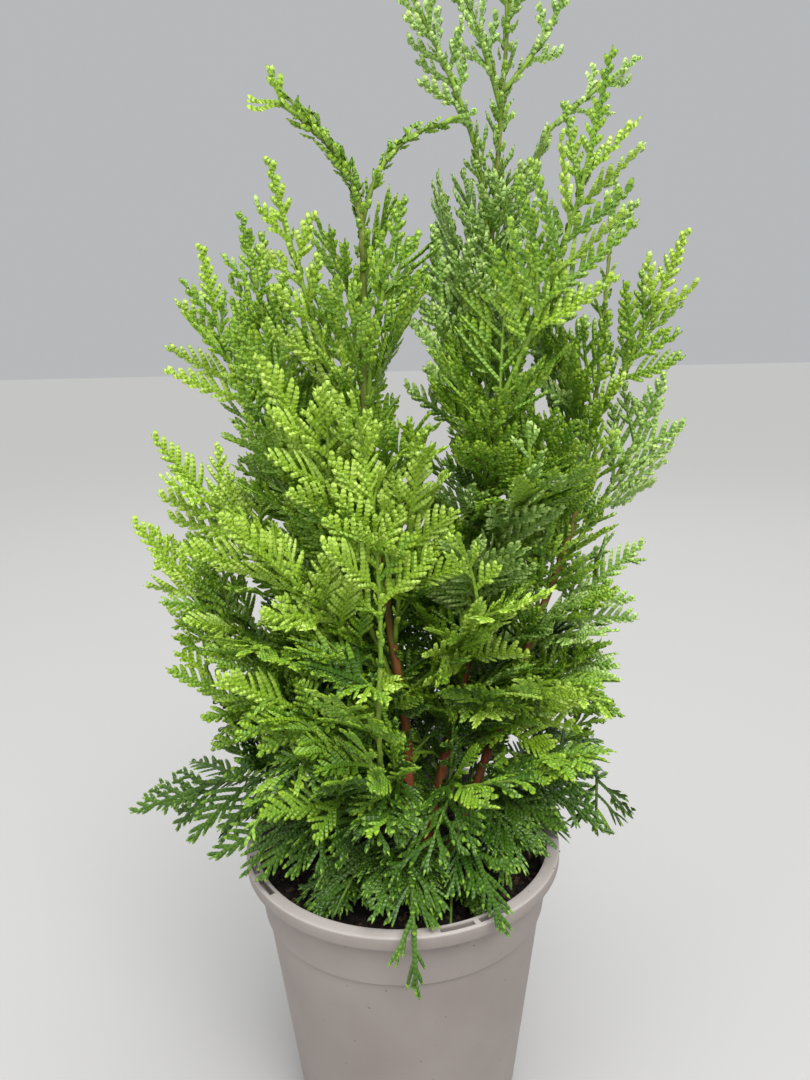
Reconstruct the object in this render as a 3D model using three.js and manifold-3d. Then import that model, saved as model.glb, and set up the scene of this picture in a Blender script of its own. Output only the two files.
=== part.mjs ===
// Potted thuja: a young evergreen with three stems from one root, in a round nursery pot.
// Millimetres, +Z up, the front of the plant towards -Y.
// The origin is the middle of the pot's flat underside.

import * as THREE from "three";
import { mergeVertices } from "three/addons/utils/BufferGeometryUtils.js";
import Module from "manifold-3d";

const wasm = await Module();
wasm.setup();

// Pot
const POT_HEIGHT = 176;
const RIM_RADIUS = 95;
const RIM_BEVEL = 1.2;
const LIP_HEIGHT = 7.6;
const LIP_WIDTH = 7.5;
const LIP_CHAMFER = 3;
const COLLAR_RADIUS_TOP = 89;
const COLLAR_RADIUS_LOW = 85.8;
const COLLAR_LOW = POT_HEIGHT - 35.7;
const COLLAR_STEP = 1.6;
const COLLAR_EDGE = 1;
const COLLAR_INNER_TOP = 86.4;
const BASE_RADIUS = 67;
const BASE_BEVEL = 1.5;
const WALL = 2;
const POT_SIDES = 28;
const SLOT_COUNT = 4;
const SLOT_FIRST_DEG = -65;
const SLOT_ARC_DEG = 26;
const SLOT_RIB_DEG = 2;
const SLOT_WIDTH = 3.6;
const SLOT_DEPTH = 5;
const SLOT_STEPS = 2;
const DRAIN_COUNT = 6;
const DRAIN_RADIUS = 5;
const DRAIN_SIDES = 6;
const DRAIN_CIRCLE = 48;

// Compost
const SOIL_TOP = POT_HEIGHT - 15;
const SOIL_DOME = 3;
const SOIL_CROWN = 0.55;
const FIT = 0.3;

// Wood
const SEAT_GAP = 0.35;
const SEAT_SEARCH = 1.6;
const SEAT_STEP = 0.1;
const STEM_SIDES = 5;
const FLARE_FADE = 40;
const BOUGH_SIDES = 5;
const BOUGH_STEPS = 5;
const TWIG_SIDES = 3;
const TWIG_RADIUS = 1.3;
const TWIG_TIP_RADIUS = 0.9;
const TWIG_STEPS = 3;
const ARCH_PER_STEP = 7;
const LINE_STEPS = 16;

// Sprays: of every FINE sprays on the living plant, one is a solid blade here
const FINE = 9;
const BLADE = 0.9;
const RACHIS = 1.2;
const TOOTH_PITCH = 12.5;
const SIDE_TEETH = 3;
const END_TEETH = 3;
const TOOTH_LEAN = 1.05;
const TOOTH_CURVE = 0.8;
const TOOTH_FROM = 0.1;
const TOOTH_SPAN = 0.84;
const TOOTH_TIP = 0.5;
const SPREAD_TO_WIDTH = 0.42;
const WIDEST_LOW = 20;
const WIDEST_HIGH = 10;
const NARROWS_FROM = 330;
const NARROWS_TO = 540;
const SPRAY_ANGLE_LOW = 46;
const SPRAY_ANGLE_HIGH = 34;
const ANGLE_SCATTER = 12;
const TWIST = 50;
const ROLL = 25;
const SHORT_SPRAY = 0.82;
const LONG_SPRAY = 1.12;
const TAPER = 0.42;
const BARE = 0.16;
const SUNK_SHARE = 0.15;
const GUARD = 0.6;
const END_SPRAY = 0.85;
const END_SPRAY_FROM = 0.45;
const FACE_TILT = 30;
const SHORTER = [1, 0.84, 0.7, 0.56, 0.44];
const OWN_MARGIN = -16;
const LIMB_MARGIN = 1.6;
const POT_MARGIN = 2;
const SPINE_TESTS = 8;
const SEED_STEP = 1009;
const DROOP_LOW = 0.24;
const DROOP_HIGH = -0.06;
const DROOP_FROM = 190;
const DROOP_TO = 430;

const DEEP = 0x3f7a26;
const MID = 0x5f9a2c;
const YOUNG = 0x86b83a;
const BLUE = 0x6f9f5a;
const BARK_RED = 0x9a5a33;
const BARK_GREEN = 0x7d8a3a;
const POT_TAUPE = 0x9a8f88;
const SOIL_BROWN = 0x2e241d;

const WELD = 1e-4;
const UP = new THREE.Vector3(0, 0, 1);
const BOUGH_SIDE = new THREE.Vector3(0, -1, 0.3).normalize();
const rad = THREE.MathUtils.degToRad;
const mix = THREE.MathUtils.lerp;

// Stems, from the soil to the tip: where each one leans as it rises
const STEMS = [
  {
    name: "stem_left", foot: 3.3, tip: 1.0, flare: 1.1, color: BARK_RED, steps: 13,
    path: [[2, -5, SOIL_TOP], [4, -6, 240], [-3, -11, 306], [-14, -19, 421], [-13, -20, 530],
      [-24, -26, 560], [-42, -31, 578]],
  },
  {
    name: "stem_middle", foot: 3.4, tip: 1.0, flare: 1.2, color: BARK_RED, steps: 14,
    path: [[14, 6, SOIL_TOP], [31, 12, 240], [48, 19, 320], [49, 20, 455], [57, 20, 530], [66, 21, 644]],
  },
  {
    name: "stem_right", foot: 3.0, tip: 1.0, flare: 1.0, color: BARK_RED, steps: 12,
    path: [[26, -3, SOIL_TOP], [48, 6, 212], [80, 10, 300], [104, 12, 370], [115, 14, 440], [121, 17, 518]],
  },
];

// Main boughs: name, the stem each one leaves, the height it leaves at, its far end, how far its
// middle stands above the straight line between them, and its radius at the foot and the tip
const BOUGHS = [
  ["bough_front", "stem_left", 182, [-9, -45, 306], -22, 1.9, 1.4],
  ["bough_left", "stem_left", 262, [-72, 2, 424], 4, 1.8, 1.3],
  ["bough_left_low", "stem_left", 236, [-64, -2, 328], 3, 1.8, 1.3],
  ["bough_right_front", "stem_middle", 352, [57, -20, 440], -3, 1.9, 1.4],
  ["bough_crossing", "stem_left", 528, [30, 0, 580], 9, 1.4, 1.1],
  ["bough_upper_left", "stem_middle", 512, [46, 10, 574], 2, 1.5, 1.2],
  ["bough_upper_right", "stem_middle", 540, [90, 31, 584], -3, 1.5, 1.2],
].map(([name, on, at, end, arch, foot, tip]) => ({ name, on, at, end, arch, foot, tip }));

// Masses of foliage: name, the limb it grows from, the height it leaves at (or the limb's tip), where
// its own tip reaches, how far its middle arches above the straight line, the reach of its longest
// spray, how many sprays, the bearing that its flat side faces (270 is the front), and its green
const MASSES = [
  ["left_leader", "stem_left", "tip", [-65, -36, 583], 3, 20, 2, 270, YOUNG],
  ["crossing_tip", "bough_crossing", "tip", [48, 5, 586], 1, 16, 1, 270, BLUE],
  ["arching_left", "stem_left", 404, [-55, -42, 557], -3, 40, 3, 260, YOUNG],
  ["centre_tip", "stem_left", 432, [9, -33, 541], 2, 34, 3, 285, MID],
  ["upper_left", "stem_left", 345, [-80, 18, 543], -13, 42, 3, 250, MID],
  ["left_high", "bough_left", "tip", [-99, 0, 524], -5, 46, 3, 275, MID],
  ["left_mid", "bough_left_low", "tip", [-132, -5, 425], 3, 56, 3, 265, YOUNG],
  ["left_wide", "stem_left", 214, [-150, 3, 377], -4, 62, 3, 280, MID],
  ["left_shade", "stem_left", 228, [-146, 44, 340], 5, 64, 3, 310, DEEP],
  ["left_low", "stem_left", 196, [-134, -10, 292], 6, 66, 3, 275, MID],
  ["left_droop", "stem_left", 174, [-168, 4, 192], 30, 68, 3, 270, DEEP],
  ["front_left_droop", "stem_left", 178, [-104, -62, 202], 20, 50, 3, 270, DEEP],
  ["front_left_high", "stem_left", 330, [-64, -60, 468], 4, 54, 3, 260, YOUNG],
  ["front_left_mid", "stem_left", 272, [-86, -68, 392], 3, 60, 3, 255, YOUNG],
  ["front_left_low", "stem_left", 220, [-90, -76, 312], 4, 62, 3, 260, MID],
  ["front_left_skirt", "stem_left", 190, [-70, -92, 244], 8, 66, 3, 270, MID],
  ["front_leader", "bough_front", "tip", [-16, -46, 436], 3, 56, 3, 275, YOUNG],
  ["front_low", "stem_left", 205, [-14, -100, 262], 6, 60, 3, 270, MID],
  ["front_droop", "stem_left", 174, [6, -112, 156], 34, 30, 2, 270, MID],
  ["front_right_droop", "stem_middle", 174, [52, -96, 178], 24, 48, 3, 270, DEEP],
  ["front_right_low", "stem_middle", 198, [42, -88, 244], 8, 60, 3, 275, MID],
  ["front_right_mid", "stem_middle", 262, [40, -72, 348], 5, 60, 3, 280, MID],
  ["front_centre", "stem_left", 300, [16, -66, 424], 4, 56, 3, 280, YOUNG],
  ["front_right_high", "stem_middle", 318, [74, -50, 412], 4, 54, 3, 285, MID],
  ["centre_high", "stem_middle", 388, [24, 0, 532], -4, 44, 3, 265, BLUE],
  ["right_tall", "bough_right_front", "tip", [106, -41, 602], -7, 62, 4, 275, MID],
  ["right_reach", "stem_right", 420, [152, -18, 524], -2, 44, 3, 265, MID],
  ["right_inner", "stem_right", 404, [86, 4, 537], -6, 36, 3, 280, BLUE],
  ["right_leader", "stem_right", "tip", [124, 19, 556], 0, 24, 2, 280, BLUE],
  ["right_mid", "stem_right", 338, [153, 8, 453], -3, 46, 3, 270, MID],
  ["right_wide", "stem_right", 288, [150, 26, 352], 3, 60, 3, 290, DEEP],
  ["right_low", "stem_right", 244, [134, 34, 270], 8, 64, 3, 280, DEEP],
  ["right_skirt", "stem_right", 206, [126, 6, 208], 12, 66, 3, 270, MID],
  ["front_right_skirt", "stem_right", 190, [90, -46, 204], 14, 50, 3, 270, MID],
  ["front_right_wide", "stem_right", 226, [104, -40, 284], 5, 60, 3, 275, MID],
  ["top_left", "bough_upper_left", "tip", [6, -3, 652], 3, 28, 3, 270, BLUE],
  ["top_right", "bough_upper_right", "tip", [141, 41, 622], 1, 26, 3, 280, BLUE],
  ["top_fork_left", "stem_middle", 590, [33, 6, 660], 2, 28, 2, 265, BLUE],
  ["top_fork_right", "stem_middle", 600, [100, 31, 656], -3, 28, 2, 275, BLUE],
  ["top", "stem_middle", "tip", [68, 22, 690], 0, 24, 2, 270, BLUE],
  ["back_high", "stem_middle", 424, [34, 72, 560], -6, 54, 3, 60, MID],
  ["back_left_high", "stem_left", 292, [-54, 78, 474], -8, 58, 3, 150, MID],
  ["back_right_high", "stem_right", 310, [88, 88, 452], -6, 58, 3, 30, MID],
  ["back_left_mid", "stem_left", 250, [-92, 92, 356], 3, 68, 3, 130, DEEP],
  ["back_mid", "stem_middle", 262, [8, 118, 372], 0, 68, 3, 90, DEEP],
  ["back_right_low", "stem_right", 256, [86, 112, 318], 8, 66, 3, 70, DEEP],
  ["back_low", "stem_middle", 208, [-26, 128, 246], 12, 70, 3, 100, DEEP],
  ["back_left_low", "stem_left", 206, [-112, 72, 238], 14, 68, 3, 160, DEEP],
].map(([name, on, at, tip, arch, spread, sprays, face, tone]) => (
  { name, on, at, tip, arch, spread, sprays, face, tone }
));

// Closed meshes, joined and cut

function solid(geometry) {
  const bare = geometry.clone();
  bare.deleteAttribute("normal");
  bare.deleteAttribute("uv");
  const merged = mergeVertices(bare, WELD);
  const mesh = new wasm.Mesh({
    numProp: 3,
    vertProperties: new Float32Array(merged.attributes.position.array),
    triVerts: new Uint32Array(merged.index.array),
  });
  return new wasm.Manifold(mesh);
}

function geometryOf(manifold) {
  const mesh = manifold.getMesh();
  const geometry = new THREE.BufferGeometry();
  geometry.setAttribute("position", new THREE.BufferAttribute(mesh.vertProperties, 3));
  geometry.setIndex(new THREE.BufferAttribute(mesh.triVerts, 1));
  geometry.computeVertexNormals();
  return geometry;
}

function material(color, roughness) {
  return new THREE.MeshStandardMaterial({ color, roughness, metalness: 0 });
}

function named(name, manifold, finish) {
  const mesh = new THREE.Mesh(geometryOf(manifold), finish);
  mesh.name = name;
  return mesh;
}

function vector([x, y, z]) {
  return new THREE.Vector3(x, y, z);
}

function boxesMeet(a, b) {
  return a.min.every((low, k) => low < b.max[k] && b.min[k] < a.max[k]);
}

function cuts(a, b) {
  return boxesMeet(a.boundingBox(), b.boundingBox()) && !a.intersect(b).isEmpty();
}

// A seeded run of numbers from 0 to 1, the same on every build

function seeded(seed) {
  let state = seed >>> 0;
  return () => {
    state = (state + 0x6d2b79f5) >>> 0;
    let value = Math.imul(state ^ (state >>> 15), state | 1);
    value ^= value + Math.imul(value ^ (value >>> 7), value | 61);
    return ((value ^ (value >>> 14)) >>> 0) / 4294967296;
  };
}

// Pot: one turned shell with a lip, a collar and a tapering body

function potRadius(z) {
  return mix(BASE_RADIUS, COLLAR_RADIUS_LOW - COLLAR_STEP, z / COLLAR_LOW);
}

function lathe(profile) {
  const points = profile.map(([r, z]) => new THREE.Vector2(r, z));
  const geometry = new THREE.LatheGeometry(points, POT_SIDES);
  geometry.rotateX(Math.PI / 2);
  return solid(geometry);
}

function ringSector(inner, outer, fromDeg, arcDeg, low, height) {
  const shape = new THREE.Shape();
  shape.absarc(0, 0, outer, rad(fromDeg), rad(fromDeg + arcDeg), false);
  shape.absarc(0, 0, inner, rad(fromDeg + arcDeg), rad(fromDeg), true);
  const geometry = new THREE.ExtrudeGeometry(shape, {
    depth: height, bevelEnabled: false, curveSegments: SLOT_STEPS,
  });
  geometry.translate(0, 0, low);
  return solid(geometry);
}

function drainHole(index) {
  const angle = rad(360 / DRAIN_COUNT) * (index + 0.5);
  const geometry = new THREE.CylinderGeometry(DRAIN_RADIUS, DRAIN_RADIUS, WALL * 4, DRAIN_SIDES);
  geometry.rotateX(Math.PI / 2);
  geometry.translate(DRAIN_CIRCLE * Math.cos(angle), DRAIN_CIRCLE * Math.sin(angle), WALL / 2);
  return solid(geometry);
}

function makePot() {
  const lipLow = POT_HEIGHT - LIP_HEIGHT;
  const innerTop = RIM_RADIUS - LIP_WIDTH;
  let pot = lathe([
    [0, 0], [BASE_RADIUS - BASE_BEVEL, 0], [BASE_RADIUS, BASE_BEVEL],
    [potRadius(COLLAR_LOW), COLLAR_LOW], [COLLAR_RADIUS_LOW, COLLAR_LOW + COLLAR_EDGE],
    [COLLAR_RADIUS_TOP, lipLow], [RIM_RADIUS, lipLow], [RIM_RADIUS, POT_HEIGHT - RIM_BEVEL],
    [RIM_RADIUS - RIM_BEVEL, POT_HEIGHT], [innerTop, POT_HEIGHT], [COLLAR_INNER_TOP, lipLow - LIP_CHAMFER],
    [potRadius(COLLAR_LOW) - WALL, COLLAR_LOW - COLLAR_EDGE], [BASE_RADIUS - WALL, WALL], [0, WALL],
  ]);
  const middle = RIM_RADIUS - LIP_WIDTH / 2;
  for (let k = 0; k < SLOT_COUNT; k += 1) {
    const centre = SLOT_FIRST_DEG + (360 / SLOT_COUNT) * k;
    for (const half of [-1, 1]) {
      const arc = (SLOT_ARC_DEG - SLOT_RIB_DEG) / 2;
      const from = centre + (half < 0 ? -SLOT_ARC_DEG : SLOT_RIB_DEG) / 2;
      const inner = middle - SLOT_WIDTH / 2;
      const slot = ringSector(inner, inner + SLOT_WIDTH, from, arc, POT_HEIGHT - SLOT_DEPTH, SLOT_DEPTH + 1);
      pot = pot.subtract(slot);
    }
  }
  for (let k = 0; k < DRAIN_COUNT; k += 1) {
    pot = pot.subtract(drainHole(k));
  }
  return pot;
}

function makeSoil() {
  const top = SOIL_TOP - FIT;
  const innerLow = potRadius(COLLAR_LOW) - WALL;
  const wallLow = COLLAR_LOW - COLLAR_EDGE;
  const wallTop = POT_HEIGHT - LIP_HEIGHT - LIP_CHAMFER;
  const share = (top - SOIL_DOME - wallLow) / (wallTop - wallLow);
  const edge = mix(innerLow, COLLAR_INNER_TOP, share) - FIT * 2;
  return lathe([
    [0, WALL + FIT], [BASE_RADIUS - WALL - FIT * 2, WALL + FIT],
    [innerLow - FIT * 2, wallLow], [edge, top - SOIL_DOME], [edge * SOIL_CROWN, top], [0, top],
  ]);
}

// Limbs: a closed cylinder bent along a curve

function frameAt(curve, t, side) {
  const along = curve.getTangent(t);
  const across = side.clone().addScaledVector(along, -side.dot(along)).normalize();
  return { point: curve.getPoint(t), along, across, over: across.clone().cross(along) };
}

function bent(curve, radiusAt, side, { sides, steps, until = 1, flatFoot = false }) {
  const geometry = new THREE.CylinderGeometry(1, 1, 1, sides, steps);
  const place = geometry.attributes.position;
  for (let k = 0; k < place.count; k += 1) {
    const t = (place.getY(k) + 0.5) * until;
    const frame = frameAt(curve, t, side);
    const radius = radiusAt(t);
    const out = frame.across.multiplyScalar(place.getX(k) * radius);
    out.addScaledVector(frame.over, place.getZ(k) * radius);
    if (flatFoot && t < 1e-6) {
      out.z = 0;
    }
    out.add(frame.point);
    place.setXYZ(k, out.x, out.y, out.z);
  }
  return solid(geometry);
}

function growStem(stem) {
  const points = stem.path.map(vector);
  const curve = new THREE.CatmullRomCurve3(points, false, "catmullrom", 0.5);
  const radiusAt = (t) => mix(stem.foot, stem.tip, t) + stem.flare * Math.exp(-t * FLARE_FADE);
  const shape = { sides: STEM_SIDES, steps: stem.steps, flatFoot: true };
  const body = bent(curve, radiusAt, new THREE.Vector3(1, 0, 0), shape);
  return { ...stem, curve, radiusAt, body, line: polyline(curve) };
}

function shareAtHeight(curve, height) {
  let low = 0;
  let high = 1;
  for (let k = 0; k < 30; k += 1) {
    const middle = (low + high) / 2;
    if (curve.getPoint(middle).z < height) {
      low = middle;
    } else {
      high = middle;
    }
  }
  return (low + high) / 2;
}

function archedCurve(from, to, arch) {
  const chord = to.clone().sub(from);
  const way = chord.clone().normalize();
  const lift = UP.clone().addScaledVector(way, -UP.dot(way)).normalize();
  const bend = from.clone().addScaledVector(chord, 0.5).addScaledVector(lift, arch * 2);
  return new THREE.QuadraticBezierCurve3(from, bend, to);
}

// The curve of a limb that leaves a carrier, with its foot this far outside the carrier's skin
function leaving(carrier, { at, arch }, to, radius, gap) {
  if (at === "tip") {
    const end = carrier.curve.getPoint(1);
    const onward = carrier.curve.getTangent(1);
    const turn = onward.angleTo(archedCurve(end, to, arch).getTangent(0));
    return archedCurve(end.addScaledVector(onward, gap + radius * Math.sin(turn)), to, arch);
  }
  const share = shareAtHeight(carrier.curve, at);
  const heart = carrier.curve.getPoint(share);
  const trunk = carrier.curve.getTangent(share);
  let from = heart;
  for (let k = 0; k < 4; k += 1) {
    const way = archedCurve(from, to, arch).getTangent(0);
    const slope = trunk.dot(way);
    const steep = Math.sqrt(1 - slope * slope);
    const out = (carrier.radiusAt(share) + gap + radius * Math.abs(slope)) / steep;
    from = heart.clone().addScaledVector(way, out);
  }
  return archedCurve(from, to, arch);
}

// Limbs have flat sides, so the foot backs off until the two bodies are clear, and then by SEAT_GAP
function seated(carrier, row, to, radius, bodyOn) {
  let gap = -SEAT_SEARCH;
  while (cuts(bodyOn(leaving(carrier, row, to, radius, gap)), carrier.body)) {
    gap += SEAT_STEP;
  }
  return leaving(carrier, row, to, radius, gap + SEAT_GAP);
}

function growBough(bough, limbs) {
  const radiusAt = (t) => mix(bough.foot, bough.tip, t);
  const bodyOn = (curve) => bent(curve, radiusAt, BOUGH_SIDE, { sides: BOUGH_SIDES, steps: BOUGH_STEPS });
  const curve = seated(limbs[bough.on], bough, vector(bough.end), bough.foot, bodyOn);
  return { ...bough, curve, radiusAt, body: bodyOn(curve), color: BARK_GREEN, line: polyline(curve) };
}

// Sprays: where each one leaves its twig, which way it points and how long it is

function facing(mass) {
  const flat = Math.cos(rad(FACE_TILT));
  return new THREE.Vector3(
    Math.cos(rad(mass.face)) * flat, Math.sin(rad(mass.face)) * flat, Math.sin(rad(FACE_TILT)),
  );
}

function droopAt(height) {
  return mix(DROOP_LOW, DROOP_HIGH, THREE.MathUtils.smoothstep(height, DROOP_FROM, DROOP_TO));
}

function sprayRule(mass, fineIndex) {
  const count = mass.sprays * FINE;
  const chance = seeded(mass.seed * SEED_STEP + fineIndex);
  const share = (fineIndex + 0.5) / count;
  const t = mix(mass.bare, mass.end.share, share);
  const side = fineIndex % 2 ? 1 : -1;
  const angle = rad(mix(SPRAY_ANGLE_LOW, SPRAY_ANGLE_HIGH, share) + (chance() - 0.5) * ANGLE_SCATTER);
  const twist = rad((chance() - 0.5) * 2 * TWIST);
  const length = mass.spread * (1 - TAPER * share) * mix(SHORT_SPRAY, LONG_SPRAY, chance());
  const roll = rad((chance() - 0.5) * 2 * ROLL);
  const along = mass.curve.getTangent(t);
  const across = facing(mass).cross(along).normalize();
  const over = along.clone().cross(across);
  const out = across.clone().multiplyScalar(Math.cos(twist)).addScaledVector(over, Math.sin(twist));
  const way = along.clone().multiplyScalar(Math.cos(angle)).addScaledVector(out, side * Math.sin(angle));
  const face = along.clone().cross(out).applyAxisAngle(way, roll).normalize();
  return { root: mass.curve.getPoint(t), way, face, length };
}

function endSpray(mass) {
  const share = Math.max(1 - END_SPRAY * mass.spread / mass.curve.getLength(), END_SPRAY_FROM);
  const root = mass.curve.getPoint(share);
  const reach = mass.curve.getPoint(1).sub(root);
  const length = reach.length();
  const way = reach.normalize();
  const across = facing(mass).cross(way).normalize();
  return { root, way, face: way.clone().cross(across), length, share, straight: true };
}

// A blade: the outline of a spray, with a tooth for each branchlet, alternating from side to side
function teethOf({ root, length, straight }) {
  const most = straight ? END_TEETH : SIDE_TEETH;
  const count = THREE.MathUtils.clamp(Math.round(length / TOOTH_PITCH), 2, most) * 2;
  const room = mix(WIDEST_LOW, WIDEST_HIGH, THREE.MathUtils.smoothstep(root.z, NARROWS_FROM, NARROWS_TO));
  const widest = Math.min(length * SPREAD_TO_WIDTH, room);
  const teeth = [];
  for (let k = 0; k < count - 1; k += 1) {
    const start = (TOOTH_FROM + TOOTH_SPAN * k / count) * length;
    const width = widest * (1 - (k / count) ** TOOTH_CURVE);
    const end = Math.min(start + width * TOOTH_LEAN, mix(start, length, TOOTH_TIP));
    teeth.push({ start, end, width, side: k % 2 ? -1 : 1 });
  }
  return teeth;
}

function bladeOutline(spray) {
  const teeth = teethOf(spray);
  const edge = (side) => teeth.filter((tooth) => tooth.side === side).flatMap(({ start, end, width }) => [
    [start, RACHIS * side], [end, width * side],
  ]);
  return [[0, RACHIS], ...edge(1), [spray.length, 0], ...edge(-1).reverse(), [0, -RACHIS]];
}

function dropAt(spray, x) {
  const droop = spray.straight ? 0 : droopAt(spray.root.z);
  return droop * x * x / spray.length;
}

function onBlade(spray, x, y, z) {
  const across = spray.face.clone().cross(spray.way);
  const place = spray.root.clone().addScaledVector(spray.way, x).addScaledVector(across, y);
  place.addScaledVector(spray.face, z);
  place.z -= dropAt(spray, x);
  return place;
}

function makeBlade(spray, thickness) {
  const shape = new THREE.Shape(bladeOutline(spray).map(([x, y]) => new THREE.Vector2(x, y)));
  const geometry = new THREE.ExtrudeGeometry(shape, { depth: thickness, bevelEnabled: false });
  const place = geometry.attributes.position;
  for (let k = 0; k < place.count; k += 1) {
    const z = place.getZ(k) - thickness / 2;
    const p = onBlade(spray, place.getX(k), place.getY(k), z);
    place.setXYZ(k, p.x, p.y, p.z);
  }
  return solid(geometry);
}

function testPoints(spray) {
  const spots = [];
  for (let k = 1; k <= SPINE_TESTS; k += 1) {
    spots.push([spray.length * k / SPINE_TESTS, 0]);
  }
  for (const { start, end, width, side } of teethOf(spray)) {
    for (const part of [0.5, 1]) {
      spots.push([mix(start, end, part), width * side * part]);
    }
  }
  return spots.map(([x, y]) => onBlade(spray, x, y, 0));
}

// Own space: a point belongs to the mass whose twig is nearest

function polyline(curve) {
  return Array.from({ length: LINE_STEPS + 1 }, (_, k) => curve.getPoint(k / LINE_STEPS));
}

function distanceTo(points, place) {
  let least = Infinity;
  for (let k = 1; k < points.length; k += 1) {
    const line = new THREE.Line3(points[k - 1], points[k]);
    const near = line.closestPointToPoint(place, true, new THREE.Vector3());
    least = Math.min(least, near.distanceTo(place));
  }
  return least;
}

function inPot(place) {
  const radius = Math.hypot(place.x, place.y);
  const overLip = radius > RIM_RADIUS - LIP_WIDTH - POT_MARGIN;
  return radius < RIM_RADIUS + POT_MARGIN && place.z < (overLip ? POT_HEIGHT : SOIL_TOP) + POT_MARGIN;
}

function isFree(spray, mass, masses, limbs) {
  return testPoints(spray).every((place) => {
    if (inPot(place)) {
      return false;
    }
    const own = distanceTo(mass.line, place) + OWN_MARGIN;
    const clear = masses.every((other) => other === mass || own < distanceTo(other.line, place));
    return clear && limbs.every((limb) => distanceTo(limb.line, place) > limb.foot + LIMB_MARGIN);
  });
}

// The longest blade of a spray that keeps to its space and cuts nothing, or null
function fittedBlade(spray, mass, masses, limbs, others, sisters) {
  for (const share of SHORTER) {
    const shorter = { ...spray, length: spray.length * share };
    if (isFree(shorter, mass, masses, limbs)) {
      const blade = makeBlade(shorter, BLADE);
      const swollen = makeBlade(shorter, BLADE + GUARD);
      const meets = others.some((body) => cuts(swollen, body)) || sisters.some((body) => cuts(blade, body));
      if (!meets) {
        return blade;
      }
    }
  }
  return null;
}

function twigBody(mass) {
  const side = mass.end.face.clone().cross(mass.end.way);
  const radiusAt = (t) => mix(TWIG_RADIUS, TWIG_TIP_RADIUS, t);
  const steps = TWIG_STEPS + Math.floor(Math.abs(mass.arch) / ARCH_PER_STEP);
  const until = mix(mass.end.share, 1, SUNK_SHARE);
  return bent(mass.curve, radiusAt, side, { sides: TWIG_SIDES, steps, until });
}

function layOut(row, index, limbs) {
  const plan = { ...row, bare: BARE, seed: index + 1 };
  const along = (curve) => ({ ...plan, curve, line: polyline(curve), end: endSpray({ ...plan, curve }) });
  const bodyOn = (curve) => twigBody(along(curve));
  return along(seated(limbs[row.on], row, vector(row.tip), TWIG_RADIUS, bodyOn));
}

// A mass starts as its twig with the spray at the twig's end, and then takes on its side sprays
function growCore(mass) {
  mass.blades = [makeBlade(mass.end, BLADE)];
  return twigBody(mass).add(mass.blades[0]);
}

function growSprays(mass, masses, limbs, solids) {
  const others = solids.filter((body) => body !== mass.core);
  const middle = (FINE - 1) / 2;
  let whole = mass.core;
  for (let k = 0; k < mass.sprays; k += 1) {
    const spray = sprayRule(mass, FINE * k + middle);
    const blade = fittedBlade(spray, mass, masses, limbs, others, mass.blades);
    if (blade) {
      mass.blades.push(blade);
      whole = whole.add(blade);
    }
  }
  return whole;
}

const limbs = {};
for (const stem of STEMS) {
  limbs[stem.name] = growStem(stem);
}
for (const bough of BOUGHS) {
  limbs[bough.name] = growBough(bough, limbs);
}
const allLimbs = Object.values(limbs);
const masses = MASSES.map((row, index) => layOut(row, index, limbs));

const pot = makePot();
const soil = makeSoil();
for (const mass of masses) {
  mass.core = growCore(mass);
}
const solids = [pot, soil, ...allLimbs.map((limb) => limb.body), ...masses.map((mass) => mass.core)];
for (const mass of masses) {
  const whole = growSprays(mass, masses, allLimbs, solids);
  solids[solids.indexOf(mass.core)] = whole;
  mass.core = whole;
}

const plant = new THREE.Group();
for (const limb of allLimbs) {
  plant.add(named(limb.name, limb.body, material(limb.color, 0.8)));
}
for (const mass of masses) {
  plant.add(named(`foliage_${mass.name}`, mass.core, material(mass.tone, 0.6)));
}

const pottedThuja = new THREE.Group();
pottedThuja.add(named("pot", pot, material(POT_TAUPE, 0.5)));
pottedThuja.add(named("soil", soil, material(SOIL_BROWN, 0.95)));
pottedThuja.add(plant);

export default pottedThuja;
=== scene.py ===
# Potted thuja: the looks of a young evergreen in a round nursery pot.
# Shapes are worked out in millimetres, +Z up and the front towards -Y, and made in metres.

import itertools
import math

import bpy
import numpy as np
from mathutils import Matrix, Vector, noise


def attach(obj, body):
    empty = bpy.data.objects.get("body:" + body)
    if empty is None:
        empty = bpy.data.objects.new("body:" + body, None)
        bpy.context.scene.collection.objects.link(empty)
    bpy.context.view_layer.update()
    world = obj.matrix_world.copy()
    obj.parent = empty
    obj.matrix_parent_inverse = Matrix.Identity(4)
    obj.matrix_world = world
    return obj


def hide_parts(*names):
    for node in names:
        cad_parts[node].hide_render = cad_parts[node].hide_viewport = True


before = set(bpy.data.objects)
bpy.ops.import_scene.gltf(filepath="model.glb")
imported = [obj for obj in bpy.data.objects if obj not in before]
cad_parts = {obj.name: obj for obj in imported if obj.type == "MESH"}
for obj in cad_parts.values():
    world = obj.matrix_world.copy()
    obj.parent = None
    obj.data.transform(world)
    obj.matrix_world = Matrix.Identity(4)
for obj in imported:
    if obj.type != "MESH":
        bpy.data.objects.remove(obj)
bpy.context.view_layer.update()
MM = 0.001

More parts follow.
